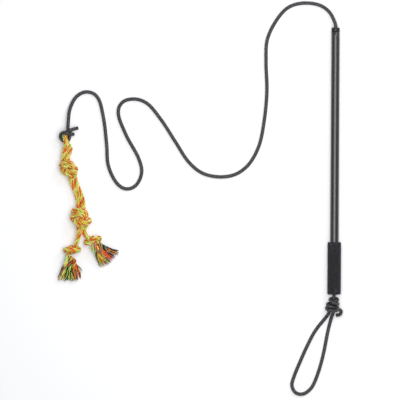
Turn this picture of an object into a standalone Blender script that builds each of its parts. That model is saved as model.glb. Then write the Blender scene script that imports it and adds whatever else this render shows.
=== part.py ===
# A dog training stick of the flirt pole kind: a hollow pole with a foam grip, one black
# bungee cord that runs right through it, and a knotted cotton chew rope on the cord's end.
# It lies on a floor at z = 0 with the pole along +Y, and the origin is under the grip's middle.
# Sizes are in metres and angles in degrees.
import math

import bmesh
import bpy
import numpy as np

CLEARANCE = 0.0003          # between any two pieces that touch
ROUND_STEPS = 48            # sides of a turned piece

# Foam grip
GRIP_LENGTH = 0.1200
GRIP_RADIUS = 0.0155
GRIP_EDGE = 0.0030          # rounding of its two ends
GRIP_HOLLOW = 0.0012        # how far its ends dish in round the tube
GRIP_SQUASH = 0.0008        # how far it is pressed flat where it rests

# Pole tube and plugs
POLE_LENGTH = 0.6106        # from the grip's lower end to the tip plug's face
TUBE_BUTT_RADIUS = 0.0100
TUBE_TIP_RADIUS = 0.0094
TUBE_WALL = 0.0015
TUBE_INSET = 0.0040         # from the grip's lower end up to the tube's end
TIP_HEAD = 0.0093           # length of the tip plug outside the tube
TIP_RIM = 0.0018            # rounding of its rim
BUTT_HEAD = 0.0025
BUTT_RIM = 0.0008
SPIGOT_LENGTH = 0.0180      # length of a plug inside the tube
SPIGOT_BEVEL = 0.0010
MOUTH_FLARE = 0.0012        # widening of a plug's bore at its face

# Cord
CORD_RADIUS = 0.0040
CORD_STEP = 0.0190          # distance between points of the free cord
LOOP_STEP = 0.0150          # the same in the wrist loop
KNOT_STEP = 0.0033          # the same in a knot
KNOT_PLAY = 0.00035         # half the least gap between touching turns of a knot
KNOT_TRAVEL = 1.55          # turns further apart than this along a strand, in gaps, can touch
LEAD = 0.0020               # straight length at each end of a stretch of cord or rope

# Chew rope
ROPE_RADIUS = 0.0056
ROPE_STEP = 0.0050
UPPER_SQUEEZE = 0.86        # how much thinner the rope is drawn in each knot
LOWER_SQUEEZE = 0.97
END_SQUEEZE = 0.92
EYE_ROOM = 0.0007           # play between the cord's eye and the rope's bight
BIGHT_TURN = 0.0190         # from the eye to where the bight's halves lie side by side

# Tassels
TASSEL_SPREAD = 0.0250      # half the width of the end
TASSEL_DEPTH = 0.0075       # height of the end's middle over the floor
TASSEL_THICK = 0.0065       # half the thickness of the end
TASSEL_RAG = 0.0040         # how uneven the yarns' ends are
TASSEL_BOW = 0.0060         # how far the outer yarns fall short of the middle ones
TASSEL_RIDGE = 0.10         # how much the bundles stand out, as a share of the thickness
TASSEL_BUNDLES = 9
TASSEL_RINGS = 7
TASSEL_SIDES = 36

# Places over the floor. TURN is the way that the rope runs on through a knot, from +X.
EYE = (-0.6151, 0.2877)
EYE_TURN = 12.0
UPPER_KNOT = (-0.6085, 0.2223)
UPPER_TURN = -76.0
LOWER_KNOT = (-0.5796, 0.1091)
LOWER_TURN = -97.0
LEFT_KNOT = (-0.5998, 0.0387)
LEFT_TURN = -118.0
RIGHT_KNOT = (-0.5525, 0.0605)
RIGHT_TURN = -42.0
LEFT_TIP = (-0.6062, -0.0320)
LEFT_FAN = -95.0
RIGHT_TIP = (-0.5120, 0.0125)
RIGHT_FAN = -47.0

# The cord's route from the tip plug to the hitch: x, y and how far it is lifted off the floor
CORD_ROUTE = [
    (-0.0143, 0.5860, 0.0022), (-0.0369, 0.6019, 0.0004), (-0.0756, 0.6064, 0.0),
    (-0.1084, 0.5964, 0.0), (-0.1347, 0.5677, 0.0), (-0.1560, 0.5222, 0.0),
    (-0.1586, 0.4719, 0.0), (-0.1562, 0.4033, 0.0), (-0.1628, 0.3303, 0.0),
    (-0.1744, 0.2767, 0.0), (-0.1981, 0.2350, 0.0), (-0.2277, 0.2135, 0.0),
    (-0.2662, 0.2077, 0.0), (-0.3039, 0.2167, 0.0), (-0.3341, 0.2413, 0.0),
    (-0.3647, 0.2870, 0.0), (-0.3987, 0.3386, 0.0), (-0.4303, 0.3747, 0.0),
    (-0.4561, 0.3843, 0.0), (-0.4811, 0.3805, 0.0), (-0.4929, 0.3686, 0.0),
    (-0.4957, 0.3496, 0.0), (-0.4779, 0.3022, 0.0), (-0.4484, 0.2479, 0.0),
    (-0.4415, 0.2189, 0.0), (-0.4500, 0.1927, 0.0), (-0.4643, 0.1807, 0.0),
    (-0.4811, 0.1796, 0.0), (-0.4987, 0.1922, 0.0), (-0.5179, 0.2314, 0.0),
    (-0.5221, 0.2792, 0.0), (-0.5297, 0.3405, 0.0), (-0.5417, 0.3846, 0.0),
    (-0.5552, 0.3974, 0.0), (-0.5743, 0.3994, 0.0001), (-0.5925, 0.3883, 0.0010),
    (-0.6067, 0.3601, 0.0045), (-0.6108, 0.3210, 0.0090),
]

# The wrist loop's route, from under the middle of the grip's lower end: the knot's right leg
# round to its left leg
LOOP_ROUTE = [
    (-0.0022, -0.0440, 0.0040), (-0.0058, -0.0545, 0.0010), (-0.0108, -0.0741, 0.0),
    (-0.0147, -0.0920, 0.0),
    (-0.0214, -0.1280, 0.0), (-0.0300, -0.1636, 0.0), (-0.0419, -0.1983, 0.0),
    (-0.0508, -0.2147, 0.0), (-0.0662, -0.2270, 0.0), (-0.0800, -0.2280, 0.0),
    (-0.0900, -0.2210, 0.0), (-0.0947, -0.2069, 0.0), (-0.0903, -0.1891, 0.0),
    (-0.0767, -0.1551, 0.0), (-0.0620, -0.1215, 0.0), (-0.0455, -0.0888, 0.0),
    (-0.0352, -0.0735, 0.0), (-0.0210, -0.0560, 0.0010), (-0.0125, -0.0445, 0.0035),
]

# The cord's inner stretch and the wraps of the wrist knot, from the middle of the grip's
# lower end. The tail curls round a place at WRIST_CURL.
WRIST_CORE = [
    (0.0000, -0.0043, 0.0000), (0.0004, -0.0203, -0.0010), (-0.0006, -0.0340, -0.0045),
]
WRIST_WRAPS = [
    (-0.0092, -0.0350, -0.0045), (-0.0085, -0.0250, -0.0010), (-0.0082, -0.0150, 0.0010),
    (-0.0050, -0.0080, 0.0065), (0.0030, -0.0060, 0.0090), (0.0095, -0.0072, 0.0040),
    (0.0085, -0.0095, -0.0050), (0.0000, -0.0112, -0.0090), (-0.0110, -0.0130, -0.0085),
    (-0.0170, -0.0155, -0.0010), (-0.0110, -0.0168, 0.0090), (0.0010, -0.0165, 0.0105),
    (0.0120, -0.0172, 0.0070), (0.0150, -0.0200, -0.0030), (0.0060, -0.0225, -0.0105),
    (-0.0080, -0.0228, -0.0110), (-0.0185, -0.0215, -0.0040), (-0.0160, -0.0245, 0.0070),
    (-0.0020, -0.0258, 0.0120), (0.0110, -0.0262, 0.0080), (0.0150, -0.0285, -0.0020),
    (0.0080, -0.0315, -0.0105), (-0.0080, -0.0325, -0.0110), (-0.0170, -0.0315, -0.0040),
    (-0.0130, -0.0335, 0.0060), (-0.0020, -0.0345, 0.0090), (0.0085, -0.0325, 0.0085),
    (0.0155, -0.0345, 0.0050), (0.0165, -0.0405, 0.0005), (0.0080, -0.0470, -0.0035),
]
WRIST_CURL = (0.0090, -0.0395)
CURL_RADIUS = 0.0030        # from that place to the cord's side

# The toy's hitch, from the eye's place on the floor: down to the eye from the cord, and from
# the eye back up, over itself, round and into the tail
HITCH_IN = [(0.0052, 0.0220, 0.0125), (0.0105, 0.0150, 0.0125), (0.0155, 0.0085, 0.0140)]
HITCH_OUT = [
    (-0.0160, 0.0020, 0.0165), (-0.0165, 0.0110, 0.0180), (-0.0140, 0.0200, 0.0230),
    (-0.0060, 0.0240, 0.0290), (0.0040, 0.0210, 0.0310), (0.0120, 0.0150, 0.0270),
    (0.0180, 0.0120, 0.0170), (0.0165, 0.0150, 0.0070), (0.0080, 0.0180, 0.0045),
    (0.0000, 0.0190, 0.0050), (-0.0050, 0.0205, 0.0110), (-0.0020, 0.0240, 0.0190),
    (0.0060, 0.0265, 0.0215), (0.0150, 0.0275, 0.0170), (0.0250, 0.0290, 0.0130),
]
EYE_HALF = 0.0120           # half the length of the eye's strand through the bight
LIFTS = (60.0, 75.0, 90.0)  # how far the toy lifts about the eye, up to its limit

# Colour, roughness and metallic value
BLACK_CORD = ((0.035, 0.036, 0.040), 0.75, 0.0)
CHARCOAL_FOAM = ((0.040, 0.040, 0.044), 0.95, 0.0)
BLACK_TUBE = ((0.030, 0.030, 0.034), 0.38, 0.6)
BLACK_PLUG = ((0.022, 0.022, 0.024), 0.55, 0.0)
ORANGE_COTTON = ((0.90, 0.30, 0.06), 0.90, 0.0)

UP = np.array([0.0, 0.0, 1.0])


# Lines through space, as arrays of points

def resampled(points, count):
    # The same line as count points an even distance apart
    along = np.r_[0, np.cumsum(np.linalg.norm(np.diff(points, axis=0), axis=1))]
    at = np.linspace(0, along[-1], count)
    return np.stack([np.interp(at, along, points[:, axis]) for axis in range(3)], 1)


def evenly(points, step):
    # The same line with its points about a step apart
    points = np.asarray(points, float)
    length = np.linalg.norm(np.diff(points, axis=0), axis=1).sum()
    return resampled(points, max(int(round(length / step)), 2) + 1)


def smooth_through(points, step):
    # A smooth curve that passes through all the points
    points = np.asarray(points, float)
    before = 2 * points[0] - points[1]
    after = 2 * points[-1] - points[-2]
    padded = np.vstack([before, points, after])
    share = np.linspace(0, 1, 16, endpoint=False)[:, None]
    pieces = []
    for a, b, c, d in zip(padded[:-3], padded[1:-2], padded[2:-1], padded[3:]):
        ab, bc, cd = np.sqrt(np.linalg.norm([b - a, c - b, d - c], axis=1))
        t1, t2, t3 = ab, ab + bc, ab + bc + cd
        t = t1 + bc * share
        first = (t1 - t) / t1 * a + t / t1 * b
        second = (t2 - t) / bc * b + (t - t1) / bc * c
        third = (t3 - t) / cd * c + (t - t2) / cd * d
        early = (t2 - t) / t2 * first + t / t2 * second
        late = (t3 - t) / (t3 - t1) * second + (t - t1) / (t3 - t1) * third
        pieces.append((t2 - t) / bc * early + (t - t1) / bc * late)
    return evenly(np.vstack(pieces + [points[-1:]]), step)


def bridge(start, start_way, end, end_way, step):
    # A smooth line from start to end that leaves and arrives in the given directions
    start, end = np.asarray(start, float), np.asarray(end, float)
    reach = np.linalg.norm(end - start)
    t = np.linspace(0, 1, 60)[:, None]
    line = (
        (2 * t**3 - 3 * t**2 + 1) * start
        + (t**3 - 2 * t**2 + t) * reach * start_way
        + (3 * t**2 - 2 * t**3) * end
        + (t**3 - t**2) * reach * end_way
    )
    return evenly(line, step)


def direction(points, end):
    # The unit direction of a line at its first (0) or last (-1) point, along the line
    way = points[1] - points[0] if end == 0 else points[-1] - points[-2]
    return way / np.linalg.norm(way)


def squared(points, start_way=None, end_way=None):
    # The line with a straight lead at each end, cut a little short, so that the next piece
    # meets it face to face
    points = np.asarray(points, float)
    start_way = direction(points, 0) if start_way is None else start_way
    end_way = direction(points, -1) if end_way is None else end_way
    from_start = np.linalg.norm(points - points[0], axis=1)
    from_end = np.linalg.norm(points - points[-1], axis=1)
    clear = list(points[np.minimum(from_start, from_end) > 1.7 * LEAD])
    start = [points[0] + start_way * amount for amount in (CLEARANCE / 2, LEAD)]
    end = [points[-1] - end_way * amount for amount in (LEAD, CLEARANCE / 2)]
    return np.array(start + clear + end)


def level_way(start, end):
    # The unit direction over the floor from start to end
    way = np.array([end[0] - start[0], end[1] - start[1], 0.0])
    return way / np.linalg.norm(way)


def compass(degrees):
    # The unit direction over the floor at an angle from +X
    return np.array([math.cos(math.radians(degrees)), math.sin(math.radians(degrees)), 0.0])


def over_floor(route):
    # The places of a cord's route, whose heights are lifts off the floor that it lies on
    return [np.array([x, y, CORD_RADIUS + lift]) for x, y, lift in route]


# Knots: strands are drawn short like a pulled cord, and pushed apart where they touch

def part_contacts(points, first, second, gaps, free):
    apart = points[second] - points[first]
    near = (apart * apart).sum(1) < gaps * gaps
    if not near.any():
        return points
    first, second, apart, gaps = first[near], second[near], apart[near], gaps[near, None]
    distance = np.sqrt((apart * apart).sum(1))[:, None]
    push_first, push_second = free[first][:, None], free[second][:, None]
    shift = (gaps - distance) * apart / distance
    shift /= np.maximum(push_first + push_second, 1e-9)
    total = len(points)
    hits = np.bincount(np.r_[first, second], minlength=total)
    moves = np.stack([
        np.bincount(
            np.r_[first, second],
            np.r_[-(shift * push_first)[:, axis], (shift * push_second)[:, axis]],
            total,
        )
        for axis in range(3)
    ], 1)
    return points + 1.2 * moves / np.maximum(hits, 1)[:, None]


def settle(strands, radii, step, rounds, held=(), pin=None, floor=None):
    # strands are lines whose ends stay put, and radii half the room that each one needs.
    # held lists the strands that don't move, and pin is a ball, as its centre and radius, in
    # which no point moves. floor is the least height of a point.
    strands = [
        np.asarray(strand, float) if index in held else evenly(strand, step)
        for index, strand in enumerate(strands)
    ]
    easing, respacing, last_rounds = 0.3, 12, 60
    for turn in range(rounds + last_rounds):
        if turn % respacing == 0 and turn < rounds:
            strands = [
                strand if index in held else evenly(strand, step)
                for index, strand in enumerate(strands)
            ]
            sizes = [len(strand) for strand in strands]
            ends = np.cumsum(sizes)
            begins = ends - sizes
            points = np.concatenate(strands)
            owner = np.repeat(np.arange(len(sizes)), sizes)
            order = np.arange(len(points))
            half = np.asarray(radii, float)[owner]
            room = half[:, None] + half[None]
            travel = np.abs(order[:, None] - order[None]) * step
            tested = (owner[:, None] != owner[None]) | (travel > KNOT_TRAVEL * room)
            first, second = np.nonzero(np.triu(tested, 1))
            gaps = room[first, second]
            free = np.ones(len(points))
            free[begins] = 0
            free[ends - 1] = 0
            for index in held:
                free[begins[index]:ends[index]] = 0
            if pin is not None:
                free[np.linalg.norm(points - pin[0], axis=1) < pin[1]] = 0
            moving = np.nonzero(free)[0]
        points = np.concatenate(strands)
        weight = easing if turn < rounds else easing / 15
        middle = (points[moving - 1] + points[moving + 1]) / 2
        points[moving] += weight * (middle - points[moving])
        for _ in range(4):
            points = part_contacts(points, first, second, gaps, free)
            if floor is not None:
                points[moving, 2] = np.maximum(points[moving, 2], floor)
        strands = np.split(points, ends[:-1])
    return strands


def loose_overhand(count, gap):
    # An overhand knot before it is pulled tight, of one strand or of two side by side,
    # with its ends running out along X
    t = np.linspace(math.pi + 0.25, 3 * math.pi - 0.25, 160)
    line = np.stack([
        np.sin(t) + 2 * np.sin(2 * t),
        np.cos(t) - 2 * np.cos(2 * t),
        -np.sin(3 * t),
    ], 1)
    line *= gap * (0.62 if count == 1 else 0.86)
    low = line[:, 1].min() - 0.6 * gap * count
    tail = gap * (3.2 if count == 1 else 4.6)
    turn = 0.7 * gap * count
    pull = low + gap * (2.3 if count == 1 else 4.2)
    line = np.vstack([
        [[tail, pull, 0], [turn, low, 0]], line, [[-turn, low, 0], [-tail, pull, 0]],
    ])
    line = evenly(line, gap / 8)
    for _ in range(30):
        line[1:-1] = (line[:-2] + 2 * line[1:-1] + line[2:]) / 4
    if count == 1:
        return [line]
    ways = np.gradient(line, axis=0)
    ways /= np.linalg.norm(ways, axis=1)[:, None]
    side = np.array([0.0, 0.0, 1.0])
    sides = []
    for way in ways:
        side = side - way * (side @ way)
        side /= np.linalg.norm(side)
        sides.append(side)
    offset = 0.55 * gap * np.array(sides)
    return [line + offset, line - offset]


def overhand(count):
    # A tight overhand knot for a gap of 1, cut off where its ends leave it
    tight = settle(loose_overhand(count, 1.0), [0.5] * count, 0.4, 500 if count == 1 else 700)
    reach = 1.6 if count == 1 else 2.2
    knot = []
    for strand in tight:
        inside = np.nonzero(np.abs(strand[:, 0]) < reach)[0]
        knot.append(strand[inside[0]:inside[-1] + 1])
    return knot


def placed(knot, squeeze, centre, turn, hand=1):
    # The knot at its size, on the floor, with its strands from left to right where they come
    # in. Its rope runs on along turn. hand is -1 for the mirror image.
    back = -compass(turn)
    axes = np.stack([back, UP, np.cross(back, UP)])
    gap = 2 * (ROPE_RADIUS + CLEARANCE) * squeeze
    strands = [gap * strand * (1, 1, hand) @ axes for strand in knot]
    every = np.concatenate(strands)
    middle = (every.max(0) + every.min(0)) / 2
    lowest = ROPE_RADIUS * squeeze
    shift = np.array([centre[0] - middle[0], centre[1] - middle[1], lowest - every[:, 2].min()])
    return from_left([strand + shift for strand in strands], 0)


def from_left(strands, end):
    # The strands from left to right at one end
    return sorted(strands, key=lambda strand: strand[end][0])


# Making objects

for old in list(bpy.data.objects):
    bpy.data.objects.remove(old, do_unlink=True)

parts = bpy.data.collections.new("dog_training_stick")
cutters = bpy.data.collections.new("cutters")
bpy.context.scene.collection.children.link(parts)
bpy.context.scene.collection.children.link(cutters)


def make_material(name, look):
    colour, roughness, metallic = look
    material = bpy.data.materials.new(name)
    material.use_nodes = True
    shader = material.node_tree.nodes["Principled BSDF"]
    shader.inputs["Base Color"].default_value = (*colour, 1.0)
    shader.inputs["Roughness"].default_value = roughness
    shader.inputs["Metallic"].default_value = metallic
    return material


def add_empty(name, place, rotation=(0.0, 0.0, 0.0)):
    empty = bpy.data.objects.new(name, None)
    empty.location = place
    empty.rotation_euler = rotation
    parts.objects.link(empty)
    return empty


def tube(name, points, radius, look, parent, widths=None):
    # A tube of eight sides along the points. widths scales its radius at each point.
    data = bpy.data.curves.new(name, "CURVE")
    data.dimensions = "3D"
    data.bevel_depth = radius
    data.bevel_resolution = 2
    data.use_fill_caps = True
    spline = data.splines.new("POLY")
    spline.points.add(len(points) - 1)
    for index, point in enumerate(points):
        spline.points[index].co = (*point, 1.0)
        spline.points[index].radius = 1.0 if widths is None else widths[index]
    spline.use_smooth = True
    data.materials.append(make_material(name, look))
    obj = bpy.data.objects.new(name, data)
    parts.objects.link(obj)
    hang(obj, parent)


def round_end(points, radius):
    # The line with a half ball's worth of rings added past its last point, and their widths
    way = direction(points, -1)
    angles = [math.radians(angle) for angle in (28, 54, 76)]
    rings = [points[-1] + way * radius * math.sin(angle) for angle in angles]
    widths = [1.0] * len(points) + [math.cos(angle) for angle in angles]
    return np.vstack([points, rings]), widths


def hang(obj, parent):
    # Parent the object without moving it
    bpy.context.view_layer.update()
    obj.parent = parent
    obj.matrix_parent_inverse = parent.matrix_world.inverted()


def turned(name, profile, look):
    # A hollow round piece on the pole's axis: a closed profile of (radius, height), with its
    # outer side running down and its bore running up
    mesh = bpy.data.meshes.new(name)
    points = [(radius, 0.0, height) for radius, height in profile]
    edges = [(index, (index + 1) % len(points)) for index in range(len(points))]
    mesh.from_pydata(points, edges, [])
    obj = bpy.data.objects.new(name, mesh)
    obj.data.materials.append(make_material(name, look))
    parts.objects.link(obj)
    obj.parent = pole_axis
    screw = obj.modifiers.new("Turn", "SCREW")
    screw.use_smooth_shade = True
    screw.steps = ROUND_STEPS
    screw.render_steps = ROUND_STEPS
    screw.use_merge_vertices = True
    screw.merge_threshold = 0.00001
    return obj


def arc(centre_radius, centre_height, radius, start, end, count=5):
    # Points on a round edge of a profile, with angles from the outward direction
    return [
        (
            centre_radius + radius * math.cos(math.radians(angle)),
            centre_height + radius * math.sin(math.radians(angle)),
        )
        for angle in np.linspace(start, end, count)
    ]


# The pole's line. It rests on its grip and on its tip, so it leans a little.
# Heights along it are measured from the grip's middle towards the tip.
butt_face = -GRIP_LENGTH / 2
tip_face = butt_face + POLE_LENGTH
tube_butt = butt_face + TUBE_INSET
tube_tip = tip_face - TIP_HEAD - CLEARANCE
tip_touch = tip_face - TIP_RIM
grip_height = GRIP_RADIUS - GRIP_SQUASH
pole_lean = math.asin((grip_height - TUBE_TIP_RADIUS) / tip_touch)
pole_way = np.array([0.0, math.cos(pole_lean), -math.sin(pole_lean)])
pole_axis = add_empty("pole_axis", (0, 0, grip_height), (-math.pi / 2 - pole_lean, 0, 0))


def on_pole(height):
    return np.array([0.0, 0.0, grip_height]) + pole_way * height


def tube_radius(height):
    share = (height - tube_butt) / (tube_tip - tube_butt)
    return TUBE_BUTT_RADIUS + share * (TUBE_TIP_RADIUS - TUBE_BUTT_RADIUS)


def make_pole_tube():
    profile = [
        (tube_radius(tube_tip), tube_tip),
        (tube_radius(tube_butt), tube_butt),
        (tube_radius(tube_butt) - TUBE_WALL, tube_butt),
        (tube_radius(tube_tip) - TUBE_WALL, tube_tip),
    ]
    turned("pole_tube", profile, BLACK_TUBE)


def plug_profile(face, shoulder, inner_end, rim, head_radius, spigot_radius):
    # A plug whose face looks up the pole or down it, as its heights are ordered
    way = 1 if face > inner_end else -1
    bore = CORD_RADIUS + CLEARANCE
    rounded = [
        (head_radius - rim + rim * math.cos(angle), face - way * rim * (1 - math.sin(angle)))
        for angle in np.radians(np.linspace(90, 0, 5))
    ]
    profile = [(bore + MOUTH_FLARE, face)] + rounded + [
        (head_radius, shoulder),
        (spigot_radius, shoulder),
        (spigot_radius, inner_end + way * SPIGOT_BEVEL),
        (spigot_radius - SPIGOT_BEVEL, inner_end),
        (bore, inner_end),
        (bore, face - way * MOUTH_FLARE),
    ]
    return profile if way == 1 else profile[::-1]


def make_tip_plug():
    shoulder = tip_face - TIP_HEAD
    spigot = TUBE_TIP_RADIUS - TUBE_WALL - CLEARANCE
    profile = plug_profile(
        tip_face, shoulder, shoulder - SPIGOT_LENGTH, TIP_RIM, TUBE_TIP_RADIUS, spigot
    )
    turned("tip_plug", profile, BLACK_PLUG)


def make_butt_plug():
    shoulder = tube_butt - CLEARANCE
    inner_end = shoulder + SPIGOT_LENGTH
    spigot = tube_radius(inner_end) - TUBE_WALL - CLEARANCE
    profile = plug_profile(
        shoulder - BUTT_HEAD, shoulder, inner_end, BUTT_RIM, TUBE_BUTT_RADIUS, spigot
    )
    turned("butt_plug", profile, BLACK_PLUG)


def make_foam_grip():
    half = GRIP_LENGTH / 2
    edge = GRIP_EDGE
    top_bore = tube_radius(half) + CLEARANCE
    low_bore = TUBE_BUTT_RADIUS + CLEARANCE
    profile = (
        [(top_bore, half - GRIP_HOLLOW)]
        + arc(GRIP_RADIUS - edge, half - edge, edge, 90, 0)
        + arc(GRIP_RADIUS - edge, -half + edge, edge, 0, -90)
        + [(low_bore, -half + GRIP_HOLLOW)]
    )
    grip = turned("foam_grip", profile, CHARCOAL_FOAM)
    bpy.ops.mesh.primitive_cube_add(size=1.0, location=(0, 0, -GRIP_RADIUS / 2))
    cutter = bpy.context.object
    cutter.name = "floor_cutter"
    cutter.scale = (4 * GRIP_RADIUS, 1.5 * GRIP_LENGTH, GRIP_RADIUS)
    cutter.hide_render = True
    cutter.display_type = "WIRE"
    for collection in list(cutter.users_collection):
        collection.objects.unlink(cutter)
    cutters.objects.link(cutter)
    flat = grip.modifiers.new("Rest flat", "BOOLEAN")
    flat.operation = "DIFFERENCE"
    flat.object = cutter


# The cord: one length that runs from the toy's hitch through the pole to the wrist loop

def free_cord(route, start_way, step):
    # A smooth line along a route, nowhere lower than it can lie, that starts along start_way
    line = smooth_through([route[0], route[0] + 3 * LEAD * start_way] + route[1:], step)
    line[:, 2] = np.maximum(line[:, 2], CORD_RADIUS)
    return line


def make_inner_cord():
    # Inside the pole. It ends in a half ball at the butt, about which the wrist knot swings.
    line = evenly([on_pole(tip_face), on_pole(butt_face)], POLE_LENGTH / 4)
    points, widths = round_end(line, CORD_RADIUS)
    tube("inner_cord", points, CORD_RADIUS, BLACK_CORD, pole_axis, widths)


def make_bungee_cord():
    # The free stretch. It ends in a half ball at the hitch's pivot, and that end's direction
    # is returned.
    route = [on_pole(tip_face)] + over_floor(CORD_ROUTE)
    line = squared(free_cord(route, pole_way, CORD_STEP), start_way=pole_way)
    points, widths = round_end(line, CORD_RADIUS)
    tube("bungee_cord", points, CORD_RADIUS, BLACK_CORD, pole_axis, widths)
    return direction(line, -1)


def make_wrist_loop():
    # The cord runs out of the butt, through the wraps and into the loop's right leg. The
    # loop's left leg comes back up beside it, winds down round both and ends in a tail.
    pivot = add_empty("wrist_pivot", on_pole(butt_face))
    centre = on_pole(butt_face)
    under = np.array([centre[0], centre[1], 0.0])
    route = [under + point for point in over_floor(LOOP_ROUTE)]
    right_leg, left_leg = route[0], route[-1]
    right_way = level_way(route[0], route[1])
    left_way = level_way(route[-2], route[-1])
    room = CORD_RADIUS + KNOT_PLAY
    core = smooth_through(list(centre + WRIST_CORE) + [right_leg], KNOT_STEP)
    wraps = smooth_through([left_leg] + list(centre + WRIST_WRAPS), KNOT_STEP)
    curl = evenly([centre + [*WRIST_CURL, height] for height in (-0.0120, 0.0060)], KNOT_STEP)
    core, wraps = settle(
        [core, wraps, curl], [room, room, CURL_RADIUS], KNOT_STEP, 260, held=[2], floor=room
    )[:2]
    loop = free_cord(route[:-1] + [left_leg - 3 * LEAD * left_way, left_leg], right_way, LOOP_STEP)
    for name, line in (
        ("wrist_cord", squared(core, end_way=right_way)),
        ("wrist_knot", squared(wraps, start_way=left_way)),
        ("wrist_loop", squared(loop, right_way, left_way)),
    ):
        tube(name, line, CORD_RADIUS, BLACK_CORD, pivot)


def lifted(points, angle):
    # The points when the toy is lifted about the strand through its eye
    out = points - eye
    along = compass(EYE_TURN)
    turn = math.radians(angle)
    kept = np.outer(out @ along, along)
    return eye + kept + (out - kept) * math.cos(turn) - np.cross(along, out) * math.sin(turn)


def make_toy_hitch(cord_way, bight):
    # The cord comes up off the floor, runs down past the bight, through it from right to
    # left, back up to a turn round itself, and ends in a tail under that turn. It stays clear
    # of the bight also where the toy is lifted.
    pivot = np.array(over_floor(CORD_ROUTE)[-1])
    start = pivot + cord_way * (CORD_RADIUS + CLEARANCE)
    base = np.array([*EYE, 0.0])
    eye_way = compass(EYE_TURN)
    room = CORD_RADIUS + KNOT_PLAY
    line = smooth_through(
        [start] + list(base + HITCH_IN)
        + [eye + EYE_HALF * eye_way, eye, eye - EYE_HALF * eye_way]
        + list(base + HITCH_OUT),
        KNOT_STEP,
    )
    cord_end = evenly([start - 8 * LEAD * cord_way, start - 3 * LEAD * cord_way], KNOT_STEP)
    bights = [bight] + [lifted(bight, angle) for angle in LIFTS]
    knot = settle(
        [line, cord_end] + bights, [room, room] + [ROPE_RADIUS + CLEARANCE] * len(bights),
        KNOT_STEP, 260, held=range(1, 2 + len(bights)), pin=(eye, 0.7 * EYE_HALF), floor=room,
    )[0]
    tube("toy_hitch", squared(knot, start_way=cord_way), CORD_RADIUS, BLACK_CORD, hitch_pivot)


# The chew rope: one cotton rope folded in half, with an end knot and a tassel on each half

def rope(name, line, squeeze=1.0):
    tube(name, line, ROPE_RADIUS * squeeze, ORANGE_COTTON, eye_pivot)


def make_bight(left, right):
    # The folded end stands upright round the cord's eye, with its two halves one above the
    # other, and they turn until they lie side by side. left and right are the next strands.
    eye_way = compass(EYE_TURN)
    down = compass(EYE_TURN - 90)
    beside = eye_way * (ROPE_RADIUS + CLEARANCE)
    angles = np.radians(np.linspace(90, -90, 11))
    crown = [eye - down * bend * math.cos(a) + UP * bend * math.sin(a) for a in angles]
    high = eye + UP * bend + down * 2 * LEAD
    low = eye - UP * bend + down * 2 * LEAD
    over = eye + down * BIGHT_TURN - beside + UP * 0.4 * bend
    under = eye + down * BIGHT_TURN + beside - UP * 0.2 * bend
    left_way, right_way = direction(left, 0), direction(right, 0)
    rising = smooth_through(
        [left[0], left[0] - 4 * LEAD * left_way, over, high, crown[0]], ROPE_STEP
    )
    falling = smooth_through(
        [crown[-1], low, under, right[0] - 4 * LEAD * right_way, right[0]], ROPE_STEP
    )
    line = evenly(np.vstack([rising, crown[1:-1], falling]), 0.6 * ROPE_STEP)
    line[:, 2] = np.maximum(line[:, 2], ROPE_RADIUS + CLEARANCE)
    line = squared(line, -left_way, right_way)
    rope("rope_bight", line)
    return line


def joined(above, below):
    # The line of the rope from one knot's end to the next knot's start
    return bridge(above[-1], direction(above, -1), below[0], direction(below, 0), ROPE_STEP)


def drawn_together(lines):
    # Two lines side by side, drawn together until they touch in the middle of their length
    count = min(len(line) for line in lines)
    first, second = [resampled(line, count) for line in lines]
    middle = (first + second) / 2
    half = (second - first) / 2
    apart = np.linalg.norm(half, axis=1)[:, None]
    share = np.sin(np.linspace(0, math.pi, count))[:, None] ** 0.5
    half *= (1 - share) + share * (ROPE_RADIUS + CLEARANCE) / apart
    return [middle - half, middle + half]


def make_knot(name, strands, squeeze):
    names = [name] if len(strands) == 1 else [name + "_left", name + "_right"]
    for strand_name, strand in zip(names, strands):
        rope(strand_name, squared(strand), squeeze)


def make_stretch(name, line, above, below):
    # The rope between two knots, square to the ends of both
    line = squared(line, direction(above, -1), direction(below, 0))
    line[1:-1, 2] = np.maximum(line[1:-1, 2], ROPE_RADIUS + CLEARANCE)
    rope(name, line)


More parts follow.
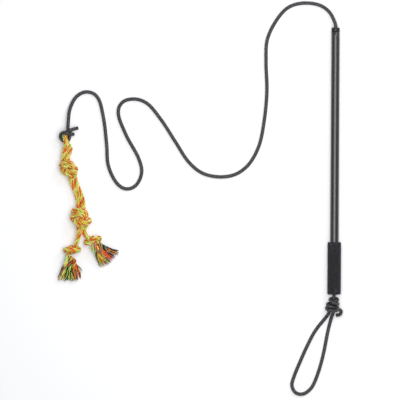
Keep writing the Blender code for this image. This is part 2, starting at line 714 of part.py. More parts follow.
def make_tassel(name, strand, tip, fan):
    # A fan of yarn bundles on the strand's end: rings that go from the rope's round end to a
    # wide, flat, ridged edge, with a ragged last ring round tip
    way = direction(strand, -1)
    start = strand[-1] + way * CLEARANCE
    middle_line = bridge(start, way, [*tip, TASSEL_DEPTH], compass(fan), 0.001)
    shape = bmesh.new()
    rings = []
    for ring in range(TASSEL_RINGS):
        share = ring / (TASSEL_RINGS - 1)
        index = int(round(share * (len(middle_line) - 2)))
        centre = middle_line[index]
        forward = way if ring == 0 else middle_line[index + 1] - middle_line[index]
        forward = forward / np.linalg.norm(forward)
        side = np.cross(UP, forward)
        side /= np.linalg.norm(side)
        lifted = np.cross(forward, side)
        half_width = ROPE_RADIUS + (TASSEL_SPREAD - ROPE_RADIUS) * share**1.2
        half_depth = ROPE_RADIUS + (TASSEL_THICK - ROPE_RADIUS) * share
        points = []
        for step in range(TASSEL_SIDES):
            angle = 2 * math.pi * step / TASSEL_SIDES
            across, lift = math.cos(angle), math.sin(angle)
            ridge = 1 + TASSEL_RIDGE * share * math.cos(TASSEL_BUNDLES * math.pi * across)
            ragged = TASSEL_RAG * share**3 * math.sin(2.5 * TASSEL_BUNDLES * across + 1.3)
            bow = TASSEL_BOW * share**2 * across**2
            point = centre + side * half_width * across + forward * (ragged - bow)
            point += lifted * half_depth * lift * ridge
            point[2] = max(point[2], CLEARANCE)
            points.append(shape.verts.new(point))
        rings.append(points)
    for near, far in zip(rings[:-1], rings[1:]):
        for step in range(TASSEL_SIDES):
            after = (step + 1) % TASSEL_SIDES
            shape.faces.new((near[step], near[after], far[after], far[step]))
    shape.faces.new(rings[0][::-1])
    last = rings[-1] + rings[-1][:1]
    for step in range(TASSEL_SIDES // 2):
        strip = (last[step], last[step + 1], last[-step - 2], last[-step - 1])
        shape.faces.new(list(dict.fromkeys(strip)))
    mesh = bpy.data.meshes.new(name)
    shape.to_mesh(mesh)
    shape.free()
    mesh.shade_smooth()
    mesh.materials.append(make_material(name, ORANGE_COTTON))
    obj = bpy.data.objects.new(name, mesh)
    parts.objects.link(obj)
    hang(obj, eye_pivot)


make_pole_tube()
make_tip_plug()
make_butt_plug()
make_foam_grip()
make_inner_cord()
cord_way = make_bungee_cord()
make_wrist_loop()

# The toy swings about the cord's end, and lifts about the cord's eye
bend = CORD_RADIUS + EYE_ROOM + ROPE_RADIUS
eye = np.array([*EYE, bend + ROPE_RADIUS])
hitch_pivot = add_empty("hitch_pivot", over_floor(CORD_ROUTE)[-1])
eye_pivot = add_empty("eye_pivot", eye, (0, 0, math.radians(EYE_TURN)))
hang(eye_pivot, hitch_pivot)

double = overhand(2)
single = [strand * (1, -1, 1) for strand in overhand(1)]    # its three bands face up
upper = placed(double, UPPER_SQUEEZE, UPPER_KNOT, UPPER_TURN)
lower = placed(double, LOWER_SQUEEZE, LOWER_KNOT, LOWER_TURN)
left_end = placed(single, END_SQUEEZE, LEFT_KNOT, LEFT_TURN, hand=-1)
right_end = placed(single, END_SQUEEZE, RIGHT_KNOT, RIGHT_TURN)
make_knot("upper_knot", upper, UPPER_SQUEEZE)
make_knot("lower_knot", lower, LOWER_SQUEEZE)
make_knot("left_end_knot", left_end, END_SQUEEZE)
make_knot("right_end_knot", right_end, END_SQUEEZE)

bight = make_bight(*upper)
make_toy_hitch(cord_way, bight)

above = from_left(upper, -1)
necks = drawn_together([joined(*pair) for pair in zip(above, lower)])
make_stretch("neck_left", necks[0], above[0], lower[0])
make_stretch("neck_right", necks[1], above[1], lower[1])

legs = from_left(lower, -1)
make_stretch("left_leg", joined(legs[0], left_end[0]), legs[0], left_end[0])
make_stretch("right_leg", joined(legs[1], right_end[0]), legs[1], right_end[0])
make_tassel("left_tassel", left_end[0], LEFT_TIP, LEFT_FAN)
make_tassel("right_tassel", right_end[0], RIGHT_TIP, RIGHT_FAN)
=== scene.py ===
# The looks of a dog training stick: a foam gripped pole, its black bungee and a knotted chew rope.
# Lengths are in metres, and the settings' angles in degrees. The floor is at z = 0.
import math

import bpy
import numpy as np
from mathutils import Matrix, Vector, noise


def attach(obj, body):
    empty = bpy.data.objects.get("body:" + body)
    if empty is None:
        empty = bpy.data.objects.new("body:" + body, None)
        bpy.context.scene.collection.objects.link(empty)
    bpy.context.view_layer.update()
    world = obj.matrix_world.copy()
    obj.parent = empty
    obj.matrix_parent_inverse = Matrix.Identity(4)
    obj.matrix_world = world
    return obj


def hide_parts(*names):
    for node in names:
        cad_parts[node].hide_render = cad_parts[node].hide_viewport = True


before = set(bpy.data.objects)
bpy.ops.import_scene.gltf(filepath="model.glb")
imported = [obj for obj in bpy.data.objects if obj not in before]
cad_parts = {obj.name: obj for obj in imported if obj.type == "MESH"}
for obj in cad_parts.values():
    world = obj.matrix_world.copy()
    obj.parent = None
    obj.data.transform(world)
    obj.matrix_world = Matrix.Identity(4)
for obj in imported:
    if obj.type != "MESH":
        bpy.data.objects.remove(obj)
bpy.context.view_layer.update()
up = np.array([0.0, 0.0, 1.0])
print("frame loaded,", len(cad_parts), "solids")

# The camera hangs over the floor and looks straight down
overhead = {
    "over": (-0.3078, 0.1544),      # the floor under the picture's middle
    "span": 0.916,                  # floor from one side of the picture to the other
    "roll": 0.362,
    "lens": 400.0,
    "sensor": 36.0,
}


def hangCamera(setup):
    lens = bpy.data.cameras.new("overheadCamera")
    lens.lens = setup["lens"]
    lens.sensor_width = setup["sensor"]
    lens.clip_end = 200
    camera = bpy.data.objects.new("overheadCamera", lens)
    camera.location = (*setup["over"], setup["span"] * setup["lens"] / setup["sensor"])
    camera.rotation_euler = (0, 0, math.radians(setup["roll"]))
    bpy.context.scene.collection.objects.link(camera)
    bpy.context.scene.camera = camera


hangCamera(overhead)
print("camera hung")


# Lines through space, as arrays of points

def runOf(line):
    # How far along the line each of its points lies
    return np.r_[0, np.cumsum(np.linalg.norm(np.diff(line, axis=0), axis=1))]


def lengthOf(line):
    return float(np.linalg.norm(np.diff(line, axis=0), axis=1).sum())


def nearest(line, place):
    return int(np.linalg.norm(line - place, axis=1).argmin())


def respaced(line, count):
    along = runOf(line)
    at = np.linspace(0, along[-1], count)
    return np.stack([np.interp(at, along, line[:, axis]) for axis in range(3)], 1)


def evenSteps(line, step):
    line = np.asarray(line, float)
    return respaced(line, max(int(round(lengthOf(line) / step)), 2) + 1)


def smoothThrough(points, step):
    # A smooth curve that passes through all the points
    points = np.asarray(points, float)
    padded = np.vstack([2 * points[0] - points[1], points, 2 * points[-1] - points[-2]])
    share = np.linspace(0, 1, 16, endpoint=False)[:, None]
    spans = []
    for a, b, c, d in zip(padded[:-3], padded[1:-2], padded[2:-1], padded[3:]):
        ab, bc, cd = np.sqrt(np.linalg.norm([b - a, c - b, d - c], axis=1))
        t1, t2, t3 = ab, ab + bc, ab + bc + cd
        t = t1 + bc * share
        first = (t1 - t) / t1 * a + t / t1 * b
        second = (t2 - t) / bc * b + (t - t1) / bc * c
        third = (t3 - t) / cd * c + (t - t2) / cd * d
        early = (t2 - t) / t2 * first + t / t2 * second
        late = (t3 - t) / (t3 - t1) * second + (t - t1) / (t3 - t1) * third
        spans.append((t2 - t) / bc * early + (t - t1) / bc * late)
    return evenSteps(np.vstack(spans + [points[-1:]]), step)


def bridged(start, startWay, end, endWay, step):
    # A smooth line between two places that leaves and arrives in the given directions
    start, end = np.asarray(start, float), np.asarray(end, float)
    reach = np.linalg.norm(end - start)
    t = np.linspace(0, 1, 60)[:, None]
    line = (
        (2 * t**3 - 3 * t**2 + 1) * start + (t**3 - 2 * t**2 + t) * reach * startWay
        + (3 * t**2 - 2 * t**3) * end + (t**3 - t**2) * reach * endWay
    )
    return evenSteps(line, step)


def unit(vectors):
    return vectors / np.linalg.norm(vectors, axis=-1, keepdims=True)


def wayAt(line, end):
    return unit(line[1] - line[0]) if end == 0 else unit(line[-1] - line[-2])


def levelWay(start, end):
    return unit(np.array([end[0] - start[0], end[1] - start[1], 0.0]))


def waysAlong(line):
    return unit(np.gradient(line, axis=0))


def spokes(count):
    return 2 * math.pi * np.arange(count) / count


def compass(degrees):
    return np.array([math.cos(math.radians(degrees)), math.sin(math.radians(degrees)), 0.0])


def carried(line, side=up):
    # Directions square to the line that turn no more than it does, one for each point
    ways = waysAlong(line)
    sides = np.empty_like(line)
    for index, way in enumerate(ways):
        side = side - way * (side @ way)
        side = side / math.sqrt(side @ side)
        sides[index] = side
    return sides


def wound(line, side, reach, turns, phase):
    # The line of a strand that winds round another at a distance, and its outward directions
    way = waysAlong(line)
    angle = (phase + 2 * math.pi * turns * runOf(line))[:, None]
    out = np.cos(angle) * side + np.sin(angle) * np.cross(way, side)
    reach = np.broadcast_to(reach, len(line))[:, None]
    return line + reach * out, out


def keptUp(line, lowest):
    # The line itself, with no point of it lower than this
    line[..., 2] = np.maximum(line[..., 2], lowest)
    return line


def ringsRound(line, sides, others, reach):
    # Rings of points. reach has a row for each of the line's points and a column for each spoke.
    turn = spokes(reach.shape[1])[None, :, None]
    out = np.cos(turn) * sides[:, None] + np.sin(turn) * others[:, None]
    return line[:, None] + reach[..., None] * out


# Knots are drawn tight the way a cord is pulled: strands shorten, and part where they touch

knotPull = {
    "ease": 0.3, "calm": 15,      # a strand's pull towards its middle, and how much less at last
    "rounds": 260, "lastRounds": 60, "respaceEach": 12,
    "travel": 1.55,             # rooms along a strand before it can touch itself
    "push": 1.2, "pushes": 4,
}


def partStrands(points, first, second, gaps, free):
    apart = points[second] - points[first]
    near = (apart * apart).sum(1) < gaps * gaps
    if not near.any():
        return points
    first, second, apart, gaps = first[near], second[near], apart[near], gaps[near, None]
    distance = np.sqrt((apart * apart).sum(1))[:, None]
    pushFirst, pushSecond = free[first][:, None], free[second][:, None]
    shift = (gaps - distance) * apart / distance / np.maximum(pushFirst + pushSecond, 1e-9)
    both = np.r_[first, second]
    hits = np.bincount(both, minlength=len(points))
    moves = np.stack([
        np.bincount(both, np.r_[-(shift * pushFirst)[:, axis], (shift * pushSecond)[:, axis]],
                    len(points))
        for axis in range(3)
    ], 1)
    return points + knotPull["push"] * moves / np.maximum(hits, 1)[:, None]


def drawTight(strands, rooms, step, rounds, held=(), pin=None, floor=None):
    # rooms holds half the gap that each strand needs. Held strands stay put, and so does what
    # lies in the pin, a ball of a centre and a radius.
    strands = [
        np.asarray(strand, float) if index in held else evenSteps(strand, step)
        for index, strand in enumerate(strands)
    ]
    for turn in range(rounds + knotPull["lastRounds"]):
        if turn % knotPull["respaceEach"] == 0 and turn < rounds:
            strands = [
                strand if index in held else evenSteps(strand, step)
                for index, strand in enumerate(strands)
            ]
            sizes = [len(strand) for strand in strands]
            ends = np.cumsum(sizes)
            begins = ends - sizes
            points = np.concatenate(strands)
            owner = np.repeat(np.arange(len(sizes)), sizes)
            order = np.arange(len(points))
            half = np.asarray(rooms, float)[owner]
            room = half[:, None] + half[None]
            travel = np.abs(order[:, None] - order[None]) * step
            tested = (owner[:, None] != owner[None]) | (travel > knotPull["travel"] * room)
            first, second = np.nonzero(np.triu(tested, 1))
            gaps = room[first, second]
            free = np.ones(len(points))
            free[begins] = 0
            free[ends - 1] = 0
            for index in held:
                free[begins[index]:ends[index]] = 0
            if pin is not None:
                free[np.linalg.norm(points - pin[0], axis=1) < pin[1]] = 0
            moving = np.nonzero(free)[0]
        points = np.concatenate(strands)
        weight = knotPull["ease"] if turn < rounds else knotPull["ease"] / knotPull["calm"]
        middle = (points[moving - 1] + points[moving + 1]) / 2
        points[moving] += weight * (middle - points[moving])
        for _ in range(knotPull["pushes"]):
            points = partStrands(points, first, second, gaps, free)
            if floor is not None:
                points[moving, 2] = np.maximum(points[moving, 2], floor)
        strands = np.split(points, ends[:-1])
    return strands


# Pieces made of rings of points

def makePiece(name, body, grids, looks, nodes, uvName="weave"):
    # Each grid has its rings, which close on themselves, and the texture's run across a ring and
    # along the line. Its ends are closed by a face where its caps say so.
    places, corners, starts, slots, uvs = [], [], [], [], []
    total = 0
    steps = ((0, 0), (0, 1), (1, 1), (1, 0))    # rings and spokes on to each corner of a face
    for grid in grids:
        rings, across, along = grid["rings"], grid["across"], grid["along"]
        count, sides = rings.shape[:2]
        places.append(rings.reshape(-1, 3))
        row, here = np.arange(count - 1)[:, None], np.arange(sides)[None]
        quads = np.stack([
            (row + down) * sides + (here + on) % sides + total for down, on in steps
        ], 2)
        corners += list(quads.reshape(-1))
        uvs.append(np.stack([
            np.stack(np.broadcast_arrays(
                across * (here + on) / sides, along[down:count - 1 + down, None]
            ), 2) for down, on in steps
        ], 2).reshape(-1, 2))
        starts += [4] * (count - 1) * sides
        slots += [grid.get("slot", 0)] * (count - 1) * sides
        for cap, ring in (("firstCap", 0), ("lastCap", count - 1)):
            if not grid.get(cap):
                continue
            face = total + ring * sides + np.arange(sides)
            corners += list(face[::-1] if ring == 0 else face)
            starts.append(sides)
            slots.append(slots[-1])
            uvs.append(np.tile([0.0, along[ring]], (sides, 1)))
        total += count * sides
    mesh = bpy.data.meshes.new(name)
    points = np.concatenate(places)
    sizes = np.array(starts, np.int32)
    mesh.vertices.add(len(points))
    mesh.vertices.foreach_set("co", points.astype(np.float32).ravel())
    mesh.loops.add(int(sizes.sum()))
    mesh.loops.foreach_set("vertex_index", np.array(corners, np.int32))
    mesh.polygons.add(len(sizes))
    mesh.polygons.foreach_set("loop_start", np.r_[0, np.cumsum(sizes)[:-1]].astype(np.int32))
    mesh.polygons.foreach_set("material_index", np.array(slots, np.int32))
    mesh.polygons.foreach_set("use_smooth", np.ones(len(sizes), bool))
    layer = mesh.uv_layers.new(name=uvName)
    layer.data.foreach_set("uv", np.concatenate(uvs).astype(np.float32).ravel())
    mesh.update(calc_edges=True)
    mesh.validate()
    for look in looks:
        mesh.materials.append(look)
    piece = bpy.data.objects.new(name, mesh)
    bpy.context.scene.collection.objects.link(piece)
    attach(piece, body)
    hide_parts(*nodes)
    return piece


# Nodes

def joinNodes(tree, source, target):
    # The source is a socket, a number or a colour
    if isinstance(source, tuple):
        target.default_value = (*source, 1.0)
    elif isinstance(source, (int, float)):
        target.default_value = source
    else:
        tree.links.new(source, target)


def reckon(tree, operation, *values):
    # A math node on the given numbers and sockets
    node = tree.nodes.new("ShaderNodeMath")
    node.operation = operation
    for value, socket in zip(values, node.inputs):
        joinNodes(tree, value, socket)
    return node.outputs[0]


def blended(tree, share, first, second, kind="MIX"):
    # One colour into another by a share
    node = tree.nodes.new("ShaderNodeMix")
    node.data_type = "RGBA"
    node.blend_type = kind
    for value, place in ((share, 0), (first, 6), (second, 7)):
        joinNodes(tree, value, node.inputs[place])
    return node.outputs[2]


def speckle(tree, scale, detail=2.0, stretch=(1, 1, 1)):
    # Soft noise over the piece, from 0 to 1
    place = tree.nodes.new("ShaderNodeTexCoord")
    mapping = tree.nodes.new("ShaderNodeMapping")
    mapping.inputs["Scale"].default_value = stretch
    cloud = tree.nodes.new("ShaderNodeTexNoise")
    joinNodes(tree, scale, cloud.inputs["Scale"])
    joinNodes(tree, detail, cloud.inputs["Detail"])
    joinNodes(tree, place.outputs["Object"], mapping.inputs["Vector"])
    joinNodes(tree, mapping.outputs["Vector"], cloud.inputs["Vector"])
    return cloud.outputs["Fac"]


def between(tree, value, low, high, toLow=0.0, toHigh=1.0):
    # The range from low to high, stretched to the range from toLow to toHigh
    node = tree.nodes.new("ShaderNodeMapRange")
    for number, socket in zip((value, low, high, toLow, toHigh), node.inputs):
        joinNodes(tree, number, socket)
    return node.outputs[0]


def raised(tree, height, strength, distance):
    bump = tree.nodes.new("ShaderNodeBump")
    for value, name in ((strength, "Strength"), (distance, "Distance"), (height, "Height")):
        joinNodes(tree, value, bump.inputs[name])
    return bump.outputs["Normal"]


def weaveCoordinates(tree, layer):
    uv = tree.nodes.new("ShaderNodeUVMap")
    uv.uv_map = layer
    split = tree.nodes.new("ShaderNodeSeparateXYZ")
    joinNodes(tree, uv.outputs[0], split.inputs[0])
    return split.outputs[0], split.outputs[1]


def newLook(name, roughness, **fixed):
    look = bpy.data.materials.new(name)
    look.use_nodes = True
    shader = look.node_tree.nodes["Principled BSDF"]
    shader.inputs["Roughness"].default_value = roughness
    for socket, value in fixed.items():
        shader.inputs[socket.replace("_", " ")].default_value = value
    return look, look.node_tree, shader


def dress(tree, shader, **sources):
    for socket, source in sources.items():
        joinNodes(tree, source, shader.inputs[socket.replace("_", " ")])


# The pole's own sizes. It rests on the grip and on its tip, so it leans a little.
pole = {
    "gripLength": 0.1200, "gripRadius": 0.0155, "gripEdge": 0.0030, "gripHollow": 0.0012,
    "gripSquash": 0.0008, "length": 0.6106, "buttRadius": 0.0100, "tipRadius": 0.0094,
    "wall": 0.0015, "inset": 0.0040, "tipHead": 0.0093, "tipRim": 0.0018, "gap": 0.0003,
    "buttHead": 0.0025, "buttRim": 0.0008, "spigot": 0.0180,
}
buttEnd = -pole["gripLength"] / 2
tipEnd = buttEnd + pole["length"]
tubeButt = buttEnd + pole["inset"]
tubeTip = tipEnd - pole["tipHead"] - pole["gap"]
gripHeight = pole["gripRadius"] - pole["gripSquash"]
lean = math.asin((gripHeight - pole["tipRadius"]) / (tipEnd - pole["tipRim"]))
poleWay = np.array([0.0, math.cos(lean), -math.sin(lean)])


def onPole(height):
    return np.array([0.0, 0.0, gripHeight]) + poleWay * height


# The cord: one elastic length from the toy, through the pole, into the wrist loop
bungee = {
    "radius": 0.0040,
    "straight": 0.0060,         # its run out of the tip or a knot
    "inTip": 0.0120, "innerTop": 0.0125,    # where its stretches end, inside the tip's face
    "strands": 8,               # of the braided sleeve, each way round
    "pitch": 0.0180,            # cord for one turn of a strand
    "relief": 0.00034, "fullAt": 0.75,      # the share of it that the radius is measured to
    "sides": 32,
    "step": 0.0005,
    "innerStep": 0.0009,
    "pathStep": 0.0030,
    "route": [                  # x, y and lift off the floor, from the tip to the toy's hitch
        (-0.0143, 0.5860, 0.0022), (-0.0369, 0.6019, 0.0004), (-0.0756, 0.6064, 0.0),
        (-0.1084, 0.5964, 0.0), (-0.1347, 0.5677, 0.0), (-0.1560, 0.5222, 0.0),
        (-0.1586, 0.4719, 0.0), (-0.1562, 0.4033, 0.0), (-0.1628, 0.3303, 0.0),
        (-0.1744, 0.2767, 0.0), (-0.1981, 0.2350, 0.0), (-0.2277, 0.2135, 0.0),
        (-0.2662, 0.2077, 0.0), (-0.3039, 0.2167, 0.0), (-0.3341, 0.2413, 0.0),
        (-0.3647, 0.2870, 0.0), (-0.3987, 0.3386, 0.0), (-0.4303, 0.3747, 0.0),
        (-0.4561, 0.3843, 0.0), (-0.4811, 0.3805, 0.0), (-0.4929, 0.3686, 0.0),
        (-0.4957, 0.3496, 0.0), (-0.4779, 0.3022, 0.0), (-0.4484, 0.2479, 0.0),
        (-0.4415, 0.2189, 0.0), (-0.4500, 0.1927, 0.0), (-0.4643, 0.1807, 0.0),
        (-0.4811, 0.1796, 0.0), (-0.4987, 0.1922, 0.0), (-0.5179, 0.2314, 0.0),
        (-0.5221, 0.2792, 0.0), (-0.5297, 0.3405, 0.0), (-0.5417, 0.3846, 0.0),
        (-0.5552, 0.3974, 0.0), (-0.5743, 0.3994, 0.0001), (-0.5925, 0.3883, 0.0010),
        (-0.6067, 0.3601, 0.0045), (-0.6108, 0.3210, 0.0090),
    ],
}


def onFloor(route, under=(0.0, 0.0)):
    return [
        np.array([under[0] + x, under[1] + y, bungee["radius"] + lift]) for x, y, lift in route
    ]


def sleeveHeight(u, v):
    # How proud the braid stands: the strand on top of each crossing, from 0 to 1
    a, b = u - v, u + v
    onTop = (np.floor(a) + np.floor(b)) % 2
    across = np.where(onTop == 0, a % 1, b % 1)
    over = np.where(onTop == 0, b % 1, a % 1)
    crown = np.sqrt(np.sin(math.pi * across))
    return crown * (0.5 + 0.5 * np.sin(math.pi * over))


# Each ring past a cord's end: its reach in radii, its width, and how proud the braid stays there
cordEnds = {
    "round": [(math.sin(a), math.cos(a), 0.5) for a in np.radians([20, 38, 54, 68, 80])],
    "sealed": [
        (0.15, 1.07, 0.4), (0.35, 1.09, 0.1), (0.52, 1.02, 0.0), (0.62, 0.85, 0.0),
        (0.66, 0.55, 0.0), (0.63, 0.2, 0.0),
    ],
}


def sleeve(line, sides, travelled, ends):
    # The braided tube round a line. An end is open, round like a ball joint, or sealed by heat.
    radius, strands, count = bungee["radius"], bungee["strands"], bungee["sides"]
    width, relief = np.ones(len(line)), np.full(len(line), bungee["relief"])
    way = waysAlong(line)
    rows = np.column_stack([line, sides, way, travelled + runOf(line), width, relief])
    for end, sign, kind in zip((0, -1), (-1, 1), ends):
        if kind == "open":
            continue
        reach, width, relief = np.array(cordEnds[kind]).T
        extra = np.repeat(rows[end][None], len(reach), 0)
        extra[:, :3] += sign * extra[:, 6:9] * radius * reach[:, None]
        extra[:, 9] += sign * radius * reach
        extra[:, 10], extra[:, 11] = width, bungee["relief"] * relief
        rows = np.vstack([extra[::-1], rows] if end == 0 else [rows, extra])
    line, sides, way = rows[:, :3], rows[:, 3:6], rows[:, 6:9]
    along, width, relief = rows[:, 9:].T
    u, v = strands * np.arange(count) / count, strands * along / bungee["pitch"]
    proud = relief[:, None] * (sleeveHeight(u, v[:, None]) - bungee["fullAt"])
    reach = radius * width[:, None] + proud
    return {
        "rings": ringsRound(line, sides, np.cross(way, sides), reach),
        "across": strands, "along": v,
        "firstCap": ends[0] != "open", "lastCap": ends[1] != "open",
    }


def cordLook():
    # Black polyester braid with grey tracer strands, dull and a little fuzzy, with painted shade
    # in the hollows between its strands
    look, tree, shader = newLook(
        "blackBraid", 0.40, Specular_IOR_Level=0.6, Sheen_Weight=0.05, Sheen_Roughness=0.4
    )
    u, v = weaveCoordinates(tree, "weave")
    a, b = reckon(tree, "SUBTRACT", u, v), reckon(tree, "ADD", u, v)
    cellA, cellB = reckon(tree, "FLOOR", a), reckon(tree, "FLOOR", b)
    onTop = reckon(tree, "FLOORED_MODULO", reckon(tree, "ADD", cellA, cellB), 2.0)
    partA, partB = reckon(tree, "FRACT", a), reckon(tree, "FRACT", b)
    gap = reckon(tree, "SUBTRACT", partB, partA)
    across = reckon(tree, "MULTIPLY_ADD", gap, onTop, partA)
    over = reckon(tree, "SUBTRACT", partB, reckon(tree, "MULTIPLY", gap, onTop))
    strand = reckon(tree, "MULTIPLY_ADD", reckon(tree, "SUBTRACT", cellB, cellA), onTop, cellA)
    crown = reckon(tree, "SINE", reckon(tree, "MULTIPLY", across, math.pi))
    crown = reckon(tree, "SQRT", reckon(tree, "MAXIMUM", crown, 0.0))
    bow = reckon(tree, "SINE", reckon(tree, "MULTIPLY", over, math.pi))
    yarnLines = reckon(tree, "SINE", reckon(tree, "MULTIPLY", across, 8 * math.pi))
    height = reckon(tree, "MULTIPLY", crown, reckon(tree, "MULTIPLY_ADD", bow, 0.5, 0.5))
    height = reckon(tree, "MULTIPLY_ADD", yarnLines, 0.07, height)
    tracer = reckon(tree, "LESS_THAN", reckon(tree, "FLOORED_MODULO", strand, 4.0), 0.5)
    fuzz = speckle(tree, 900, 3.0)
    worn = between(tree, speckle(tree, 22, 2.0), 0.35, 0.7)
    black = blended(tree, worn, (0.016, 0.016, 0.018), (0.028, 0.028, 0.031))
    grey = blended(tree, fuzz, (0.050, 0.050, 0.053), (0.095, 0.095, 0.100))
    colour = blended(tree, tracer, black, grey)
    # painted shade: the colour is darkened where the braid lies low, between its strands and along
    # its fine yarn lines
    depth = between(tree, height, 0.15, 0.7, 0.35, 1.0)
    dress(
        tree, shader, Base_Color=blended(tree, 1.0, colour, depth, "MULTIPLY"),
        Roughness=between(tree, fuzz, 0.3, 0.7, 0.30, 0.44),
        Normal=raised(tree, height, 0.6, 0.0004),
    )
    return look


blackBraid = cordLook()


def cordPiece(name, body, node, line, sides, travelled, ends):
    grid = sleeve(line, sides, travelled, ends)
    return makePiece(name, body, [grid], [blackBraid], [node])


tipMouth = onPole(tipEnd)
tipRun = [tipMouth, tipMouth + bungee["straight"] * poleWay]
bungeeLine = smoothThrough(tipRun + onFloor(bungee["route"]), bungee["step"])
bungeeLine = keptUp(bungeeLine, bungee["radius"])
intoPole = evenSteps([onPole(tipEnd - bungee["inTip"]), tipMouth], bungee["step"])
bungeeLine = np.vstack([intoPole[:-1], bungeeLine])
bungeeSides = carried(bungeeLine)
bungeeCord = cordPiece(
    "bungeeCord", "pole", "bungee_cord", bungeeLine, bungeeSides, 0.0, ("open", "round")
)
hitchWay = wayAt(bungeeLine, -1)
hitchPivot = bungeeLine[-1]

innerLine = evenSteps(
    [onPole(buttEnd), onPole(tipEnd - bungee["innerTop"])], bungee["innerStep"]
)
cordPiece("innerCord", "pole", "inner_cord", innerLine, carried(innerLine), 0.0, ("round", "open"))

# The wrist end: the cord leaves the butt through its own wraps and comes back as the loop
wrist = {
    "loop": [                   # from under the grip's end: the right leg round to the left
        (-0.0022, -0.0440, 0.0040), (-0.0058, -0.0545, 0.0010), (-0.0108, -0.0741, 0.0),
        (-0.0147, -0.0920, 0.0), (-0.0214, -0.1280, 0.0), (-0.0300, -0.1636, 0.0),
        (-0.0419, -0.1983, 0.0), (-0.0508, -0.2147, 0.0), (-0.0662, -0.2270, 0.0),
        (-0.0800, -0.2280, 0.0), (-0.0900, -0.2210, 0.0), (-0.0947, -0.2069, 0.0),
        (-0.0903, -0.1891, 0.0), (-0.0767, -0.1551, 0.0), (-0.0620, -0.1215, 0.0),
        (-0.0455, -0.0888, 0.0), (-0.0352, -0.0735, 0.0), (-0.0210, -0.0560, 0.0010),
        (-0.0125, -0.0445, 0.0035),
    ],
    "core": [
        (0.0000, -0.0043, 0.0000), (0.0004, -0.0203, -0.0010), (-0.0006, -0.0340, -0.0045),
    ],
    "wraps": [
        (-0.0092, -0.0350, -0.0045), (-0.0085, -0.0250, -0.0010), (-0.0082, -0.0150, 0.0010),
        (-0.0050, -0.0080, 0.0065), (0.0030, -0.0060, 0.0090), (0.0095, -0.0072, 0.0040),
        (0.0085, -0.0095, -0.0050), (0.0000, -0.0112, -0.0090), (-0.0110, -0.0130, -0.0085),
        (-0.0170, -0.0155, -0.0010), (-0.0110, -0.0168, 0.0090), (0.0010, -0.0165, 0.0105),
        (0.0120, -0.0172, 0.0070), (0.0150, -0.0200, -0.0030), (0.0060, -0.0225, -0.0105),
        (-0.0080, -0.0228, -0.0110), (-0.0185, -0.0215, -0.0040), (-0.0160, -0.0245, 0.0070),
        (-0.0020, -0.0258, 0.0120), (0.0110, -0.0262, 0.0080), (0.0150, -0.0285, -0.0020),
        (0.0080, -0.0315, -0.0105), (-0.0080, -0.0325, -0.0110), (-0.0170, -0.0315, -0.0040),
        (-0.0130, -0.0335, 0.0060), (-0.0020, -0.0345, 0.0090), (0.0085, -0.0325, 0.0085),
        (0.0155, -0.0345, 0.0050), (0.0165, -0.0405, 0.0005), (0.0080, -0.0470, -0.0035),
    ],
    "curl": (0.0090, -0.0395),  # the place that the tail curls round
    "curlRadius": 0.0030,
    "curlHeights": (-0.0120, 0.0060),
    "room": 0.00435,            # half the gap between two touching turns
    "knotStep": 0.0033,
}
butt = onPole(buttEnd)
loopRoute = onFloor(wrist["loop"], butt[:2])
knotStep = wrist["knotStep"]
core = smoothThrough(list(butt + wrist["core"]) + [loopRoute[0]], knotStep)
wraps = smoothThrough([loopRoute[-1]] + list(butt + wrist["wraps"]), knotStep)
curl = evenSteps([butt + [*wrist["curl"], lift] for lift in wrist["curlHeights"]], knotStep)
core, wraps = drawTight(
    [core, wraps, curl], [wrist["room"]] * 2 + [wrist["curlRadius"]], knotStep,
    knotPull["rounds"], held=[2], floor=wrist["room"],
)[:2]
rightWay = levelWay(loopRoute[0], loopRoute[1])
leftWay = levelWay(loopRoute[-2], loopRoute[-1])
loopEnd = [loopRoute[-1] - bungee["straight"] * leftWay, loopRoute[-1]]
loopPoints = [loopRoute[0] + bungee["straight"] * rightWay] + loopRoute[1:-1] + loopEnd
wholeWrist = smoothThrough(
    np.vstack([[butt], core[1:-1], [loopRoute[0]], loopPoints, wraps[1:]]), bungee["step"]
)
wholeWrist = keptUp(wholeWrist, bungee["radius"])
wristSides = carried(wholeWrist)
wristAlong = runOf(wholeWrist)
outOfKnot, intoKnot = [nearest(wholeWrist, loopRoute[end]) for end in (0, -1)]
for name, node, first, last, ends in (
    ("wristCord", "wrist_cord", 0, outOfKnot, ("round", "open")),
    ("wristLoop", "wrist_loop", outOfKnot, intoKnot, ("open", "open")),
    ("wristKnot", "wrist_knot", intoKnot, len(wholeWrist) - 1, ("open", "sealed")),
):
    part = slice(first, last + 1)
    cordPiece(
        name, "wrist", node, wholeWrist[part], wristSides[part], wristAlong[first], ends
    )


# The chew rope: one cotton rope folded over the cord's eye, knotted and left in two tassels

